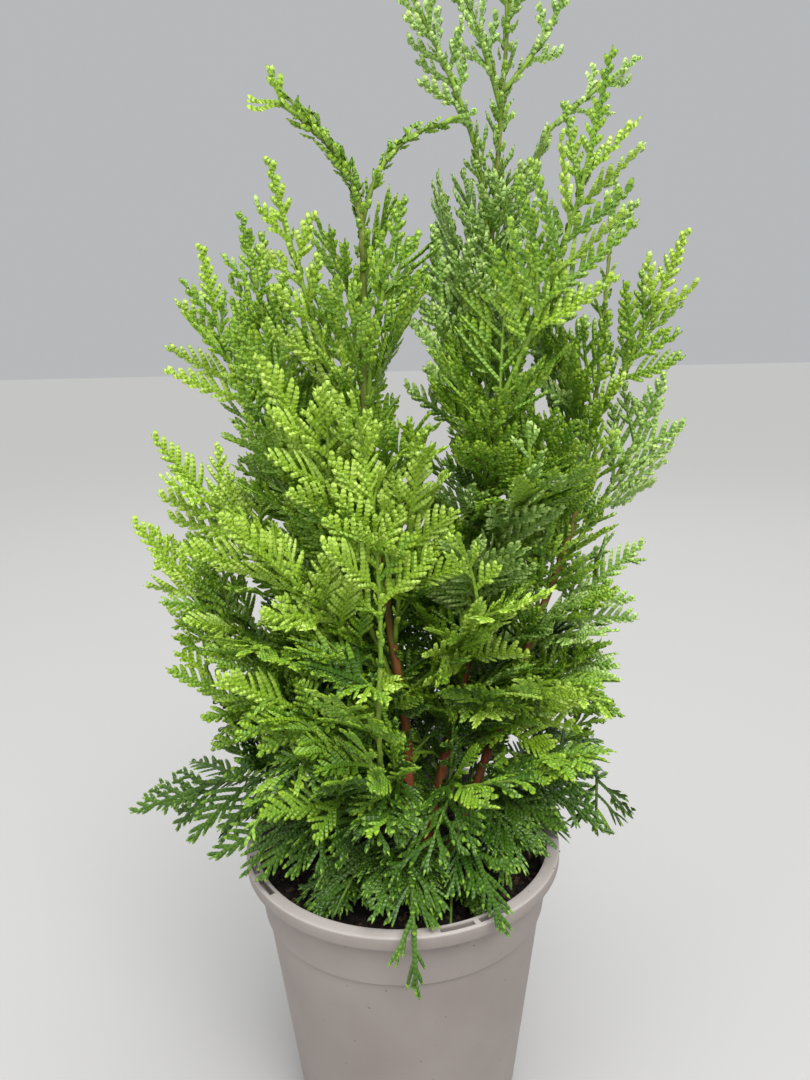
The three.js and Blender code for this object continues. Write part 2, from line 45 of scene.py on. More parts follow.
# Pot
POT_HEIGHT = 176
RIM_RADIUS = 95
LIP_HEIGHT = 7.6
LIP_WIDTH = 7.5
LIP_CHAMFER = 3
COLLAR_RADIUS_TOP = 89
COLLAR_RADIUS_LOW = 85.8
COLLAR_LOW = POT_HEIGHT - 35.7
COLLAR_STEP = 1.6
COLLAR_FOOT = COLLAR_RADIUS_LOW - COLLAR_STEP
COLLAR_EDGE = 1
COLLAR_INNER_TOP = 86.4
BASE_RADIUS = 67
BASE_BEVEL = 1.5
WALL = 2
POT_COLUMNS = 192
SLOT_COUNT = 4
SLOT_FIRST_DEG = -65
SLOT_ARC_DEG = 26
SLOT_RIB_DEG = 2
SLOT_WIDTH = 3.6
SLOT_DEPTH = 5
DRAIN_COUNT = 6
DRAIN_RADIUS = 5
DRAIN_CIRCLE = 48
COLUMN_CLEAR = 0.3
SLOT_END = 0.03
SHARP_DEG = 32

# Compost
SOIL_TOP = POT_HEIGHT - 15
SOIL_DOME = 3
SOIL_RADIUS = 84
SOIL_GAP = 0.6
SOIL_SUNK = 0.6
SOIL_RINGS = 72
SOIL_AROUND = 170
SOIL_LUMPS = ((2.0, 0.07, 1.7), (1.3, 0.28, 4.2), (0.6, 0.8, 9.1))
COMPOST_COLORS = ((15, 12, 10), (46, 38, 31))
CRUMBS = 1500
FIBRES = 60
# Each kind of crumb: name, dark and light colour, its chance if it isn't of a kind before, and sizes
CRUMB_KINDS = (
    ("crumbs_dark", (20, 16, 13), (52, 43, 35), 0.76, (0.8, 2.9)),
    ("crumbs_bark", (56, 42, 32), (100, 78, 60), 0.975, (0.8, 2.9)),
    ("crumbs_pale", (170, 158, 140), (214, 206, 192), 1.0, (0.7, 1.6)),
)
CRUMB_SHAPES = (0.6, 0.5, 0.35), (1.5, 1.0, 0.8)
FIBRE_POINTS = 8
FIBRE_LENGTHS = (5, 20)
FIBRE_RADII = (0.18, 0.55)

# Wood
TWIG_RADIUS = 1.3
TWIG_TIP_RADIUS = 0.9
INNER_RADIUS = 1.1
FLARE_FADE = 40
LINE_STEPS = 16
GOLDEN_TURN = 2.4
FOOT_IN_TIP = 1.5
LIMB_STEP = 0.9
TWIG_STEP = 2.2
PRESSED_PAIR = 4.4
BARE_BARK = (220, 310)
TWIG_SHOWN = 0.75
STUB_SPACING = 3.1
STUBS_FROM = 330
STUB_ANGLES = (16, 34)
STUB_LENGTHS = (4.4, 7.8)
STUB_HALF = 1.9

# Sprays, by the rule that also places the solids
FINE = 9
SPREAD_TO_WIDTH = 0.34
END_TO_WIDTH = 0.26
WIDEST = (15, 7), (330, 540)
SPRAY_ANGLES = (46, 34)
ANGLE_SCATTER = 12
TWIST = 50
ROLL = 25
SPRAY_SIZES = (0.82, 1.12)
TAPER = 0.42
BARE = 0.16
END_SPRAY = 0.85
END_SPRAY_FROM = 0.45
FACE_TILT = 30
SHORTER = (1, 0.84, 0.7, 0.56, 0.44)
OWN_MARGIN = -16
LIMB_MARGIN = 1.6
POT_MARGIN = 2
SPINE_TESTS = 8
SEED_STEP = 1009
DROOP = (0.24, -0.06), (190, 430)

# Scale leaves: one pair of side leaves every SCALE_PITCH along a shoot
SCALE_PITCH = 2.4
RACHIS_HALF = 1.6
BRANCHLET_HALF = (1.9, 2.0), (380, 540)
CUP = 0.006
SHOOT_BEND = 0.14
SHOOT_TAPER = 0.18
NOTCH = 0.8
RIDGES = (0.5, 0.72)
PLAIN_NOTCH = 0.92
PLAIN_RIDGE = 0.62
# Painted shade: a ramp multiplied into the leaf green along each scale leaf, darkest in the crease at its
# base and brightest in its middle
PAINTED_SCALE_CREASE_SHADE = (
    (0.0, (178, 188, 148)), (0.22, (240, 243, 230)), (0.6, (255, 255, 255)), (1.0, (226, 232, 208)),
)

# Branchlets: two rows close together in a comb, or forked ones in a fan
COMB_PITCH = 5.8
FAN_PITCH = 6.4
PITCH_SCATTER = (0.85, 1.15)
LONGEST_COMB = 16
LONGEST_FAN = 22
COMBS_OUTSIDE = 0.9
COMBS_ELSEWHERE = 0.6
LEAST_SHOOT = 2.2
SHOOT_SCATTER = 10
SHOOT_SIZES = (0.88, 1.1)
SHOOT_TILT = 0.34
SHOOT_ROLL = 0.9
LEAST_BRANCHLET = 4.2
BRANCHLET_ANGLES = (50, 38)
UPPER_ANGLE = 8
UPPER_LONGER = 0.4
FORKED_FROM = 9.5
SIDE_TURN = math.radians(42)
SIDE_FIRST = 3.2
SIDE_LAST = 2.4
SIDE_LENGTH = 3.6
SIDE_MORE = 3.0
SIDE_HALF = 0.94
FEATHERY_OVER = (185, 245)
FEATHERY_WIDTH = (0.74, 1), (185, 235)
FEATHERY_HALF = 0.32
FEATHERY_PITCH = 0.4
FEATHERY_LENGTH = 0.5
FEATHERY_ANGLE = 19
TIP_SHARE = (0.87, 0.52), (190, 300)
# Painted light and shade: sprays get a darker green low down, towards the back and deep in the crown, and a
# lighter one at its outside
SHADED_OVER = (190, 290)
LOW_SHADE = 0.7
BACK_SHADE = 0.12
TONE_SCATTER = 0.7
LIGHTER_FROM = 1.02
DARKER_BELOW = (0.4, -0.5), (300, 520)
RACHIS_TIP = 0.86

# Density, and twigs that the solids leave out
PIECE_TRIANGLES = 190_000
PLAIN_WITHIN = 0.66
SPACING = (4.6, 5.5), (420, 540)
THINNED_BELOW = 206
LIMB_TWIG_SPACING = 8.9
LIMB_TWIG = 100
MASS_TWIG_SPACING = 20
LEAST_SPREAD = 36
LEAST_TWIG = 14
TWIG_SCATTER = 14
TWIG_SIZES = (0.8, 1.15)
INNER_ANGLES = (54, 24)
INNER_SCATTER = 16
INNER_ARCH = 8
INNER_SIZES = (0.6, 1.1)
INNER_HIGH = 0.72
INNER_TOP = 0.36
RISES_OVER = (220, 480)
TOP_OVER = (480, 545)
LEADERS = ("stem_left", "bough_crossing")
BARE_LEADER = 505
LEADER_TWIGS = (7, 13)
LOWEST_FRONT = 213
LOWEST_BACK = SOIL_TOP + 22
SKIRT_TWIGS = 24
SKIRT_FROM = 180
SKIRT_LOW = 172
SKIRT_BAND = 26
SKIRT_OUT = (88, 110)
SKIRT_TIP = (186, 150), (96, 104)
SKIRT_ARCHES = (9, 17)
SKIRT_SCATTER = 8
SKIRT_BACK = (0.1, 0.6)
SKIRT_BACK_RISE = 46
TWIG_RULES = {
    "inner": {
        "seed": 9, "spacing": 8, "least": 2, "first": 0.14, "run": 0.66, "end": 0.72, "end_length": 0.3,
        "angles": SPRAY_ANGLES, "roll": 1.3, "lengths": (0.6, 0.28),
    },
    "skirt": {
        "seed": 5, "spacing": 10, "least": 4, "first": 0.26, "run": 0.5, "end": 0.66, "end_length": 0.36,
        "angles": (36, 22), "roll": 0.7, "lengths": (38, 20),
    },
}

# The gap between the leaders, which twigs from the left one lean into
GAP_FROM = 370
GAP_TO = 480
GAP_LEAN = 1.4
TO_RIGHT = 0.3

# The part of the left stem that shows between the front sprays
SHOWN_STEM = 350
TO_FRONT = -0.35
SHOWN_FROM = 244
SHOWN_TO = 345
SHOWN_FRONT = -12
SHOWN_HALF = 11
SHOWN_ASIDE = 4
SEEN_FROM_ABOVE = 12

# The crown's middle, and how far inner twigs reach from it low and high up
CROWN_X = 10
CROWN_Y = 5
CROWN_BROADER = 1.22
CROWN_REACH = (104, 66), (300, 580)
CROWN_SKIN = (150, 118), (250, 600)

# Photograph's camera
PHOTO_HEIGHT_PX = 1080
FOCAL_PX = 845
SENSOR = 36
CAMERA_AT = (5.4, -469.0, 466.7)
PITCH_DEG = 12.6
ROLL_DEG = -1.27

# Studio: each lamp's kind, name, place in metres, size and power
FLOOR_COLOR = (0.42, 0.415, 0.405, 1)
SKY_COLOR = (0.76, 0.78, 0.80, 1)
SKY_STRENGTH = 0.62
LIT_POINT = (0, 0, 0.35)
LAMPS = (
    ("SUN", "sky", (0.3, -0.6, 2.6), 1.1, 2.7),
    ("AREA", "key", (0.4, -1.1, 1.6), 0.9, 18),
    ("AREA", "fill", (-1.5, -0.9, 1.0), 1.2, 8),
    ("AREA", "back", (0.2, 1.7, 1.7), 1.6, 6),
)

STEMS = [
    ("stem_left", 3.3, 1.0, 1.1,
     [(2, -5, SOIL_TOP), (4, -6, 240), (-3, -11, 306), (-14, -19, 421), (-13, -20, 530),
      (-24, -26, 560), (-42, -31, 578)]),
    ("stem_middle", 3.4, 1.0, 1.2,
     [(14, 6, SOIL_TOP), (31, 12, 240), (48, 19, 320), (49, 20, 455), (57, 20, 530), (66, 21, 644)]),
    ("stem_right", 3.0, 1.0, 1.0,
     [(26, -3, SOIL_TOP), (48, 6, 212), (80, 10, 300), (104, 12, 370), (115, 14, 440), (121, 17, 518)]),
]

BOUGHS = [
    ("bough_front", "stem_left", 182, (-9, -45, 306), -22, 1.9, 1.4),
    ("bough_left", "stem_left", 262, (-72, 2, 424), 4, 1.8, 1.3),
    ("bough_left_low", "stem_left", 236, (-64, -2, 328), 3, 1.8, 1.3),
    ("bough_right_front", "stem_middle", 352, (57, -20, 440), -3, 1.9, 1.4),
    ("bough_crossing", "stem_left", 528, (30, 0, 580), 9, 1.4, 1.1),
    ("bough_upper_left", "stem_middle", 512, (46, 10, 574), 2, 1.5, 1.2),
    ("bough_upper_right", "stem_middle", 540, (90, 31, 584), -3, 1.5, 1.2),
]

DEEP, MID, YOUNG, LIGHT, BLUE, FROST = range(6)

# Masses of foliage: name, limb, height it leaves at, tip, arch, spread, sprays, facing and green
MASSES = [
    ("left_leader", "stem_left", "tip", (-65, -36, 583), 3, 20, 2, 270, YOUNG),
    ("crossing_tip", "bough_crossing", "tip", (48, 5, 586), 1, 16, 1, 270, BLUE),
    ("arching_left", "stem_left", 404, (-55, -42, 557), -3, 40, 3, 260, YOUNG),
    ("centre_tip", "stem_left", 432, (9, -33, 541), 2, 34, 3, 285, MID),
    ("upper_left", "stem_left", 345, (-80, 18, 543), -13, 42, 3, 250, MID),
    ("left_high", "bough_left", "tip", (-99, 0, 524), -5, 46, 3, 275, MID),
    ("left_mid", "bough_left_low", "tip", (-132, -5, 425), 3, 56, 3, 265, YOUNG),
    ("left_wide", "stem_left", 214, (-150, 3, 377), -4, 62, 3, 280, MID),
    ("left_shade", "stem_left", 228, (-146, 44, 340), 5, 64, 3, 310, DEEP),
    ("left_low", "stem_left", 196, (-134, -10, 292), 6, 66, 3, 275, MID),
    ("left_droop", "stem_left", 174, (-168, 4, 192), 30, 68, 3, 270, DEEP),
    ("front_left_droop", "stem_left", 178, (-104, -62, 202), 20, 50, 3, 270, DEEP),
    ("front_left_high", "stem_left", 330, (-64, -60, 468), 4, 54, 3, 260, YOUNG),
    ("front_left_mid", "stem_left", 272, (-86, -68, 392), 3, 60, 3, 255, YOUNG),
    ("front_left_low", "stem_left", 220, (-90, -76, 312), 4, 62, 3, 260, MID),
    ("front_left_skirt", "stem_left", 190, (-70, -92, 244), 8, 66, 3, 270, MID),
    ("front_leader", "bough_front", "tip", (-16, -46, 436), 3, 56, 3, 275, YOUNG),
    ("front_low", "stem_left", 205, (-14, -100, 262), 6, 60, 3, 270, MID),
    ("front_droop", "stem_left", 174, (6, -112, 156), 34, 30, 2, 270, DEEP),
    ("front_right_droop", "stem_middle", 174, (52, -96, 178), 24, 48, 3, 270, DEEP),
    ("front_right_low", "stem_middle", 198, (42, -88, 244), 8, 60, 3, 275, MID),
    ("front_right_mid", "stem_middle", 262, (40, -72, 348), 5, 60, 3, 280, YOUNG),
    ("front_centre", "stem_left", 300, (16, -66, 424), 4, 56, 3, 280, YOUNG),
    ("front_right_high", "stem_middle", 318, (74, -50, 412), 4, 54, 3, 285, BLUE),
    ("centre_high", "stem_middle", 388, (24, 0, 532), -4, 44, 3, 265, BLUE),
    ("right_tall", "bough_right_front", "tip", (106, -41, 602), -7, 62, 4, 275, MID),
    ("right_reach", "stem_right", 420, (152, -18, 524), -2, 44, 3, 265, MID),
    ("right_inner", "stem_right", 404, (86, 4, 537), -6, 36, 3, 280, BLUE),
    ("right_leader", "stem_right", "tip", (124, 19, 556), 0, 24, 2, 280, BLUE),
    ("right_mid", "stem_right", 338, (153, 8, 453), -3, 46, 3, 270, BLUE),
    ("right_wide", "stem_right", 288, (150, 26, 352), 3, 60, 3, 290, BLUE),
    ("right_low", "stem_right", 244, (134, 34, 270), 8, 64, 3, 280, MID),
    ("right_skirt", "stem_right", 206, (126, 6, 208), 12, 66, 3, 270, MID),
    ("front_right_skirt", "stem_right", 190, (90, -46, 204), 14, 50, 3, 270, MID),
    ("front_right_wide", "stem_right", 226, (104, -40, 284), 5, 60, 3, 275, YOUNG),
    ("top_left", "bough_upper_left", "tip", (6, -3, 652), 3, 28, 3, 270, BLUE),
    ("top_right", "bough_upper_right", "tip", (141, 41, 622), 1, 26, 3, 280, BLUE),
    ("top_fork_left", "stem_middle", 590, (33, 6, 660), 2, 28, 2, 265, BLUE),
    ("top_fork_right", "stem_middle", 600, (100, 31, 656), -3, 28, 2, 275, BLUE),
    ("top", "stem_middle", "tip", (68, 22, 690), 0, 24, 2, 270, BLUE),
    ("back_high", "stem_middle", 424, (34, 72, 560), -6, 54, 3, 60, MID),
    ("back_left_high", "stem_left", 292, (-54, 78, 474), -8, 58, 3, 150, MID),
    ("back_right_high", "stem_right", 310, (88, 88, 452), -6, 58, 3, 30, MID),
    ("back_left_mid", "stem_left", 250, (-92, 92, 356), 3, 68, 3, 130, DEEP),
    ("back_mid", "stem_middle", 262, (8, 118, 372), 0, 68, 3, 90, DEEP),
    ("back_right_low", "stem_right", 256, (86, 112, 318), 8, 66, 3, 70, DEEP),
    ("back_low", "stem_middle", 208, (-26, 128, 246), 12, 70, 3, 100, DEEP),
    ("back_left_low", "stem_left", 206, (-112, 72, 238), 14, 68, 3, 160, DEEP),
]


# Small sums

def vec(values):
    return np.array(values, float)


def unit(v):
    return v / np.linalg.norm(v, axis=-1, keepdims=True)


def mix(a, b, t):
    return a + (b - a) * t


def smoothstep(x, low, high):
    t = np.clip((x - low) / (high - low), 0, 1)
    return t * t * (3 - 2 * t)


def graded(x, values, over):
    """A value that goes from the first to the second one while x goes over a range."""
    return mix(*values, smoothstep(x, *over))


def scatter(draw, width):
    """A drawn number round 0."""
    return (draw() - 0.5) * width


def heading(turn, rise=0):
    return vec((math.cos(turn), math.sin(turn), rise))


def leaning(along, across, angle):
    return along * math.cos(angle) + across * math.sin(angle)


def seeded(seed):
    """The same run of numbers from 0 to 1 that the solids are grown with."""
    mask = 0xFFFFFFFF
    state = seed & mask

    def draw():
        nonlocal state
        state = (state + 0x6D2B79F5) & mask
        value = ((state ^ (state >> 15)) * (state | 1)) & mask
        value ^= (value + (((value ^ (value >> 7)) * (value | 61)) & mask)) & mask
        return (value ^ (value >> 14)) / 4294967296

    return draw


# Curves: functions of an array of shares from 0 to 1

def catmull(points):
    points = vec(points)
    padded = np.vstack([2 * points[0] - points[1], points, 2 * points[-1] - points[-2]])

    def at(t):
        place = np.clip(np.atleast_1d(t), 0, 1) * (len(points) - 1)
        k = np.minimum(place.astype(int), len(points) - 2)
        w = (place - k)[:, None]
        before, start, end, after = (padded[k + step] for step in range(4))
        leave, arrive = (end - before) / 2, (after - start) / 2
        bend = -3 * start + 3 * end - 2 * leave - arrive
        close = 2 * start - 2 * end + leave + arrive
        return start + leave * w + bend * w**2 + close * w**3

    return at


def arched(start, end, arch):
    chord = end - start
    way = unit(chord)
    lift = unit(vec((0, 0, 1)) - way * way[2])
    control = start + chord * 0.5 + lift * arch * 2

    def at(t):
        t = np.atleast_1d(t)[:, None]
        return (1 - t) ** 2 * start + 2 * t * (1 - t) * control + t**2 * end

    return at


def tangent(curve, t):
    step = 1e-4
    t = np.atleast_1d(t)
    return unit(curve(np.minimum(t + step, 1)) - curve(np.maximum(t - step, 0)))


def length_of(curve):
    points = curve(np.linspace(0, 1, 201))
    return float(np.linalg.norm(np.diff(points, axis=0), axis=1).sum())


def polyline(curve):
    return curve(np.linspace(0, 1, LINE_STEPS + 1))


def share_at_height(curve, height):
    low, high = 0.0, 1.0
    for _ in range(30):
        middle = (low + high) / 2
        if curve(middle)[0][2] < height:
            low = middle
        else:
            high = middle
    return (low + high) / 2


def leaving(carrier, at, arch, to, radius):
    """A limb's curve from its carrier's skin to its own tip, and how far its foot is from the heart."""
    to = vec(to)
    if at == "tip":
        return arched(carrier["curve"](1)[0], to, arch), FOOT_IN_TIP
    share = share_at_height(carrier["curve"], at)
    heart = carrier["curve"](share)[0]
    trunk = tangent(carrier["curve"], share)[0]
    start = heart
    for _ in range(4):
        way = tangent(arched(start, to, arch), 0)[0]
        slope = float(trunk @ way)
        steep = math.sqrt(1 - slope * slope)
        out = (carrier["radius"](share) + radius * abs(slope)) / steep
        start = heart + way * out
    return arched(start, to, arch), out


# Limbs and masses

def lay_out_limbs():
    limbs = {}

    def add(name, curve, foot, tip, flare=0, sunk=0):
        def radius(t):
            return mix(foot, tip, np.asarray(t)) + flare * np.exp(-FLARE_FADE * np.asarray(t))

        limb = {"name": name, "curve": curve, "radius": radius, "foot": foot, "sunk": sunk}
        limbs[name] = limb | {"line": polyline(curve)}

    for name, foot, tip, flare, path in STEMS:
        add(name, catmull(path), foot, tip, flare)
    for name, on, at, end, arch, foot, tip in BOUGHS:
        curve, sunk = leaving(limbs[on], at, arch, end, foot)
        add(name, curve, foot, tip, 0, sunk)
    return limbs


def facing(bearing):
    tilt = math.radians(FACE_TILT)
    return heading(math.radians(bearing)) * math.cos(tilt) + vec((0, 0, math.sin(tilt)))


def lay_out_masses(limbs):
    masses = []
    for index, (name, on, at, tip, arch, spread, sprays, face, tone) in enumerate(MASSES):
        curve, sunk = leaving(limbs[on], at, arch, tip, TWIG_RADIUS)
        mass = {
            "name": name, "curve": curve, "sunk": sunk, "line": polyline(curve), "spread": spread,
            "sprays": sprays, "face": facing(face), "tone": tone, "seed": index + 1, "index": index,
        }
        mass["end"] = end_spray(mass)
        masses.append(mass)
    return masses


# Sprays

def spray_of(root, way, face, length, **more):
    return {"root": root, "way": way, "face": face, "length": length, "straight": False} | more


def stand_on(curve, t, toward):
    """A place on a curve, the way along it, and the way square to that and to another one."""
    along = tangent(curve, t)[0]
    return curve(t)[0], along, unit(np.cross(toward, along))


def end_spray(mass):
    curve = mass["curve"]
    share = max(1 - END_SPRAY * mass["spread"] / length_of(curve), END_SPRAY_FROM)
    root = curve(share)[0]
    reach = curve(1)[0] - root
    way = unit(reach)
    across = unit(np.cross(mass["face"], way))
    length = float(np.linalg.norm(reach))
    return spray_of(root, way, np.cross(way, across), length, share=share, straight=True)


def turned(v, axis, angle):
    cos, sin = math.cos(angle), math.sin(angle)
    return v * cos + np.cross(axis, v) * sin + axis * (axis @ v) * (1 - cos)


def spray_rule(mass, fine_index):
    count = mass["sprays"] * FINE
    chance = seeded(mass["seed"] * SEED_STEP + fine_index)
    share = (fine_index + 0.5) / count
    t = mix(BARE, mass["end"]["share"], share)
    side = 1 if fine_index % 2 else -1
    angle = math.radians(mix(*SPRAY_ANGLES, share) + scatter(chance, ANGLE_SCATTER))
    twist = math.radians(scatter(chance, 2 * TWIST))
    length = mass["spread"] * (1 - TAPER * share) * mix(*SPRAY_SIZES, chance())
    roll = math.radians(scatter(chance, 2 * ROLL))
    root, along, across = stand_on(mass["curve"], t, mass["face"])
    out = leaning(across, np.cross(along, across), twist)
    way = leaning(along, out * side, angle)
    face = unit(turned(np.cross(along, out), way, roll))
    return spray_of(root, way, face, length)


def on_blade(spray, local):
    """Points given along, across and off a spray, in the row's frame."""
    across = np.cross(spray["face"], spray["way"])
    place = spray["root"] + local @ np.stack([spray["way"], across, spray["face"]])
    droop = 0 if spray["straight"] else graded(spray["root"][2], *DROOP)
    place[:, 2] -= droop * local[:, 0] ** 2 / spray["length"]
    return place


def widest_at(height):
    return graded(height, *WIDEST) * graded(height, *FEATHERY_WIDTH)


def half_width_at(spray, share):
    by_length = spray["length"] * (END_TO_WIDTH if spray["straight"] else SPREAD_TO_WIDTH)
    widest = min(by_length, widest_at(spray["root"][2]))
    return widest * (1 - share) ** 0.75 * smoothstep(share, -0.25, 0.2)


def test_points(spray):
    shares = np.arange(1, SPINE_TESTS + 1) / SPINE_TESTS
    width = half_width_at(spray, shares) * 0.6
    spots = [np.stack([shares * spray["length"], width * side, shares * 0], 1) for side in (-1, 0, 1)]
    return on_blade(spray, np.vstack(spots))


def distances(points, lines):
    """The distance of each point to each line of segments."""
    start, step = lines[:, :-1], np.diff(lines, axis=1)
    reach = points[:, None, None] - start[None]
    t = np.clip((reach * step).sum(-1) / (step * step).sum(-1), 0, 1)
    gap = reach - t[..., None] * step
    return np.sqrt((gap * gap).sum(-1).min(-1))


def in_pot(points):
    """Which points lie in the pot or its compost, or just over them."""
    radius = np.hypot(points[..., 0], points[..., 1])
    over_lip = radius > RIM_RADIUS - LIP_WIDTH - POT_MARGIN
    height = np.where(over_lip, POT_HEIGHT, SOIL_TOP) + POT_MARGIN
    return (radius < RIM_RADIUS + POT_MARGIN) & (points[..., 2] < height)


def is_free(spray, mass, lines, limb_lines, limb_gaps):
    points = test_points(spray)
    if in_pot(points).any():
        return False
    away = distances(points, lines)
    own = away[:, mass["index"]] + OWN_MARGIN
    away[:, mass["index"]] = np.inf
    clear = (own[:, None] < away).all()
    return bool(clear and (distances(points, limb_lines) > limb_gaps).all())


def stride_of(mass):
    """How many fine sprays to step over, 1, 3 or 9, so that a short or high twig isn't crowded."""
    count = mass["sprays"] * FINE
    spacing = length_of(mass["curve"]) * (mass["end"]["share"] - BARE) / count
    wanted = graded(mass["curve"](0.5)[0][2], *SPACING)
    return next((stride for stride in (1, 3) if spacing * stride >= wanted), FINE)


def kept_in(root, way, reach):
    """A reach cut back until the tip stays well within the crown."""
    for _ in range(6):
        tip = root + way * reach
        out = math.hypot((tip[0] - CROWN_X) / CROWN_BROADER, tip[1] - CROWN_Y)
        if out < graded(tip[2], *CROWN_REACH) and not in_pot(tip):
            break
        reach *= 0.8
    return reach


def inner_twigs(carrier, number, spacing, longest, tone):
    """Short twigs that stand round a stem, bough or long twig within the crown, with their own sprays."""
    twigs = []
    draw = seeded(number * SEED_STEP + 77)
    count = max(int(length_of(carrier["curve"]) / spacing), 1)
    name = carrier["name"]
    for k in range(count):
        t = (k + draw()) / count
        root, along, across = stand_on(carrier["curve"], t, heading(k * GOLDEN_TURN + draw()))
        rise = smoothstep(root[2], *RISES_OVER)
        high = smoothstep(root[2], *TOP_OVER)
        angle = math.radians(mix(*INNER_ANGLES, rise) + scatter(draw, INNER_SCATTER))
        if name == "stem_left" and across[0] > TO_RIGHT and GAP_FROM < root[2] < GAP_TO:
            angle *= GAP_LEAN
        way = leaning(along, across, angle)
        reach = longest * mix(1, INNER_HIGH, rise) * mix(1, INNER_TOP, high)
        reach = kept_in(root, way, reach * mix(*INNER_SIZES, draw()))
        lowest = LOWEST_FRONT if way[1] < 0 else LOWEST_BACK
        hides_stem = name == "stem_left" and way[1] < TO_FRONT and root[2] < SHOWN_STEM
        if name in LEADERS and root[2] > BARE_LEADER:
            reach = mix(*LEADER_TWIGS, draw())
        elif root[2] < lowest or reach < LEAST_TWIG or hides_stem:
            continue
        twigs.append({
            "name": name, "seed": 100 + number * 40 + k, "tone": tone, "kind": "inner", "reach": reach,
            "face": facing(math.degrees(math.atan2(way[1], way[0]))),
            "curve": arched(root, root + way * reach, (draw() - 0.35) * INNER_ARCH),
        })
    return twigs


def hides(twig, stem):
    """Whether a twig would stand in front of the part of a stem that shows between the front sprays."""
    for point in twig["curve"](np.linspace(0, 1, 4)):
        if SHOWN_FROM < point[2] < SHOWN_TO and point[1] < SHOWN_FRONT:
            heart = stem["curve"](share_at_height(stem["curve"], point[2] - SEEN_FROM_ABOVE))[0]
            if abs(point[0] - heart[0] - SHOWN_ASIDE) < SHOWN_HALF:
                return True
    return False


def all_inner_twigs(limbs, masses):
    twigs = []
    for number, limb in enumerate(limbs.values()):
        tone = BLUE if "upper" in limb["name"] or limb["name"] == "stem_middle" else MID
        twigs += inner_twigs(limb, number + 1, LIMB_TWIG_SPACING, LIMB_TWIG, tone)
    for mass in masses:
        if mass["spread"] >= LEAST_SPREAD:
            twigs += inner_twigs(mass, 20 + mass["seed"], MASS_TWIG_SPACING, mass["spread"], mass["tone"])
    return [twig for twig in twigs if not hides(twig, limbs["stem_left"])]


def skirt_twigs(limbs):
    """Long thin twigs from low on the stems that lie over the compost and hang over the rim."""
    twigs = []
    draw = seeded(4021)
    stems = [limb["curve"] for name, limb in limbs.items() if name.startswith("stem")]
    for k in range(SKIRT_TWIGS):
        toward = heading(k * GOLDEN_TURN)
        stem = max(stems, key=lambda curve: curve(share_at_height(curve, SKIRT_FROM))[0] @ toward)
        root = stem(share_at_height(stem, SKIRT_LOW + SKIRT_BAND * draw()))[0]
        out = mix(*SKIRT_OUT, draw())
        tip = toward * out + vec((0, 0, graded(out, *SKIRT_TIP) + SKIRT_SCATTER * draw()))
        tip[2] += SKIRT_BACK_RISE * smoothstep(toward[1], *SKIRT_BACK)
        twigs.append({
            "name": "skirt", "seed": 60 + k, "tone": MID if k % 3 == 0 else DEEP, "kind": "skirt",
            "face": vec((0, 0, 1)), "curve": arched(root, tip, mix(*SKIRT_ARCHES, draw())),
            "reach": float(np.linalg.norm(tip - root)),
        })
    return twigs


def twig_sprays(twig):
    """The sprays of a twig that isn't among the solids: alternate, shorter towards its tip."""
    rule = TWIG_RULES[twig["kind"]]
    skirt = twig["kind"] == "skirt"
    draw = seeded(twig["seed"] * SEED_STEP + rule["seed"])
    curve, reach = twig["curve"], twig["reach"]
    count = max(int(reach / rule["spacing"]), rule["least"])
    sprays = []
    for k in range(count + 1):
        last = k == count
        share = rule["end"] if last else rule["first"] + rule["run"] * k / count
        root, along, across = stand_on(curve, share, twig["face"])
        side = 1 if k % 2 else -1
        angle = 0 if last else math.radians(mix(*rule["angles"], share) + scatter(draw, TWIG_SCATTER))
        way = leaning(along, across * side, angle)
        face = unit(turned(unit(np.cross(along, across)), way, scatter(draw, rule["roll"])))
        length = reach * rule["end_length"]
        if not last:
            length = (1 if skirt else reach) * (mix(*rule["lengths"], share) * mix(*TWIG_SIZES, draw()))
        spray = spray_of(root, way, face, length)
        if not skirt or not in_pot(test_points(spray)).any():
            sprays.append(spray)
    return sprays


def grow_sprays(mass, lines, limb_lines, limb_gaps):
    """The sprays of one mass, each cut back until it keeps clear of limbs, pot and other masses."""
    sprays = [mass["end"]]
    stride = stride_of(mass)
    first = (FINE - 1) // 2 % stride
    for number, fine_index in enumerate(range(first, mass["sprays"] * FINE, stride)):
        spray = spray_rule(mass, fine_index)
        if number % 4 > 1 and spray["root"][1] < 0 and spray["root"][2] < THINNED_BELOW:
            continue
        for share in SHORTER:
            shorter = {**spray, "length": spray["length"] * share}
            if is_free(shorter, mass, lines, limb_lines, limb_gaps):
                sprays.append(shorter)
                break
    return sprays


def stubs(carrier, seed, start, end, radius):
    """Short pressed shoots that clothe a green twig all round, each a spray of one branchlet."""
    draw = seeded(seed * SEED_STEP + 303)
    curve = carrier["curve"]
    count = max(int(length_of(curve) * (end - start) / STUB_SPACING), 1)
    made = []
    for k in range(count):
        t = mix(start, end, (k + draw()) / count)
        root, along, across = stand_on(curve, t, heading(k * GOLDEN_TURN + draw(), 0.2))
        way = leaning(along, across, math.radians(mix(*STUB_ANGLES, draw())))
        face = unit(np.cross(np.cross(way, across), way))
        root = root + across * radius * 0.6
        made.append(spray_of(root, way, face, mix(*STUB_LENGTHS, draw()), straight=True, stub=True))
    return made


# Shoots: rows of x, y, angle, length, half width, tilt, roll and whether it is a rachis

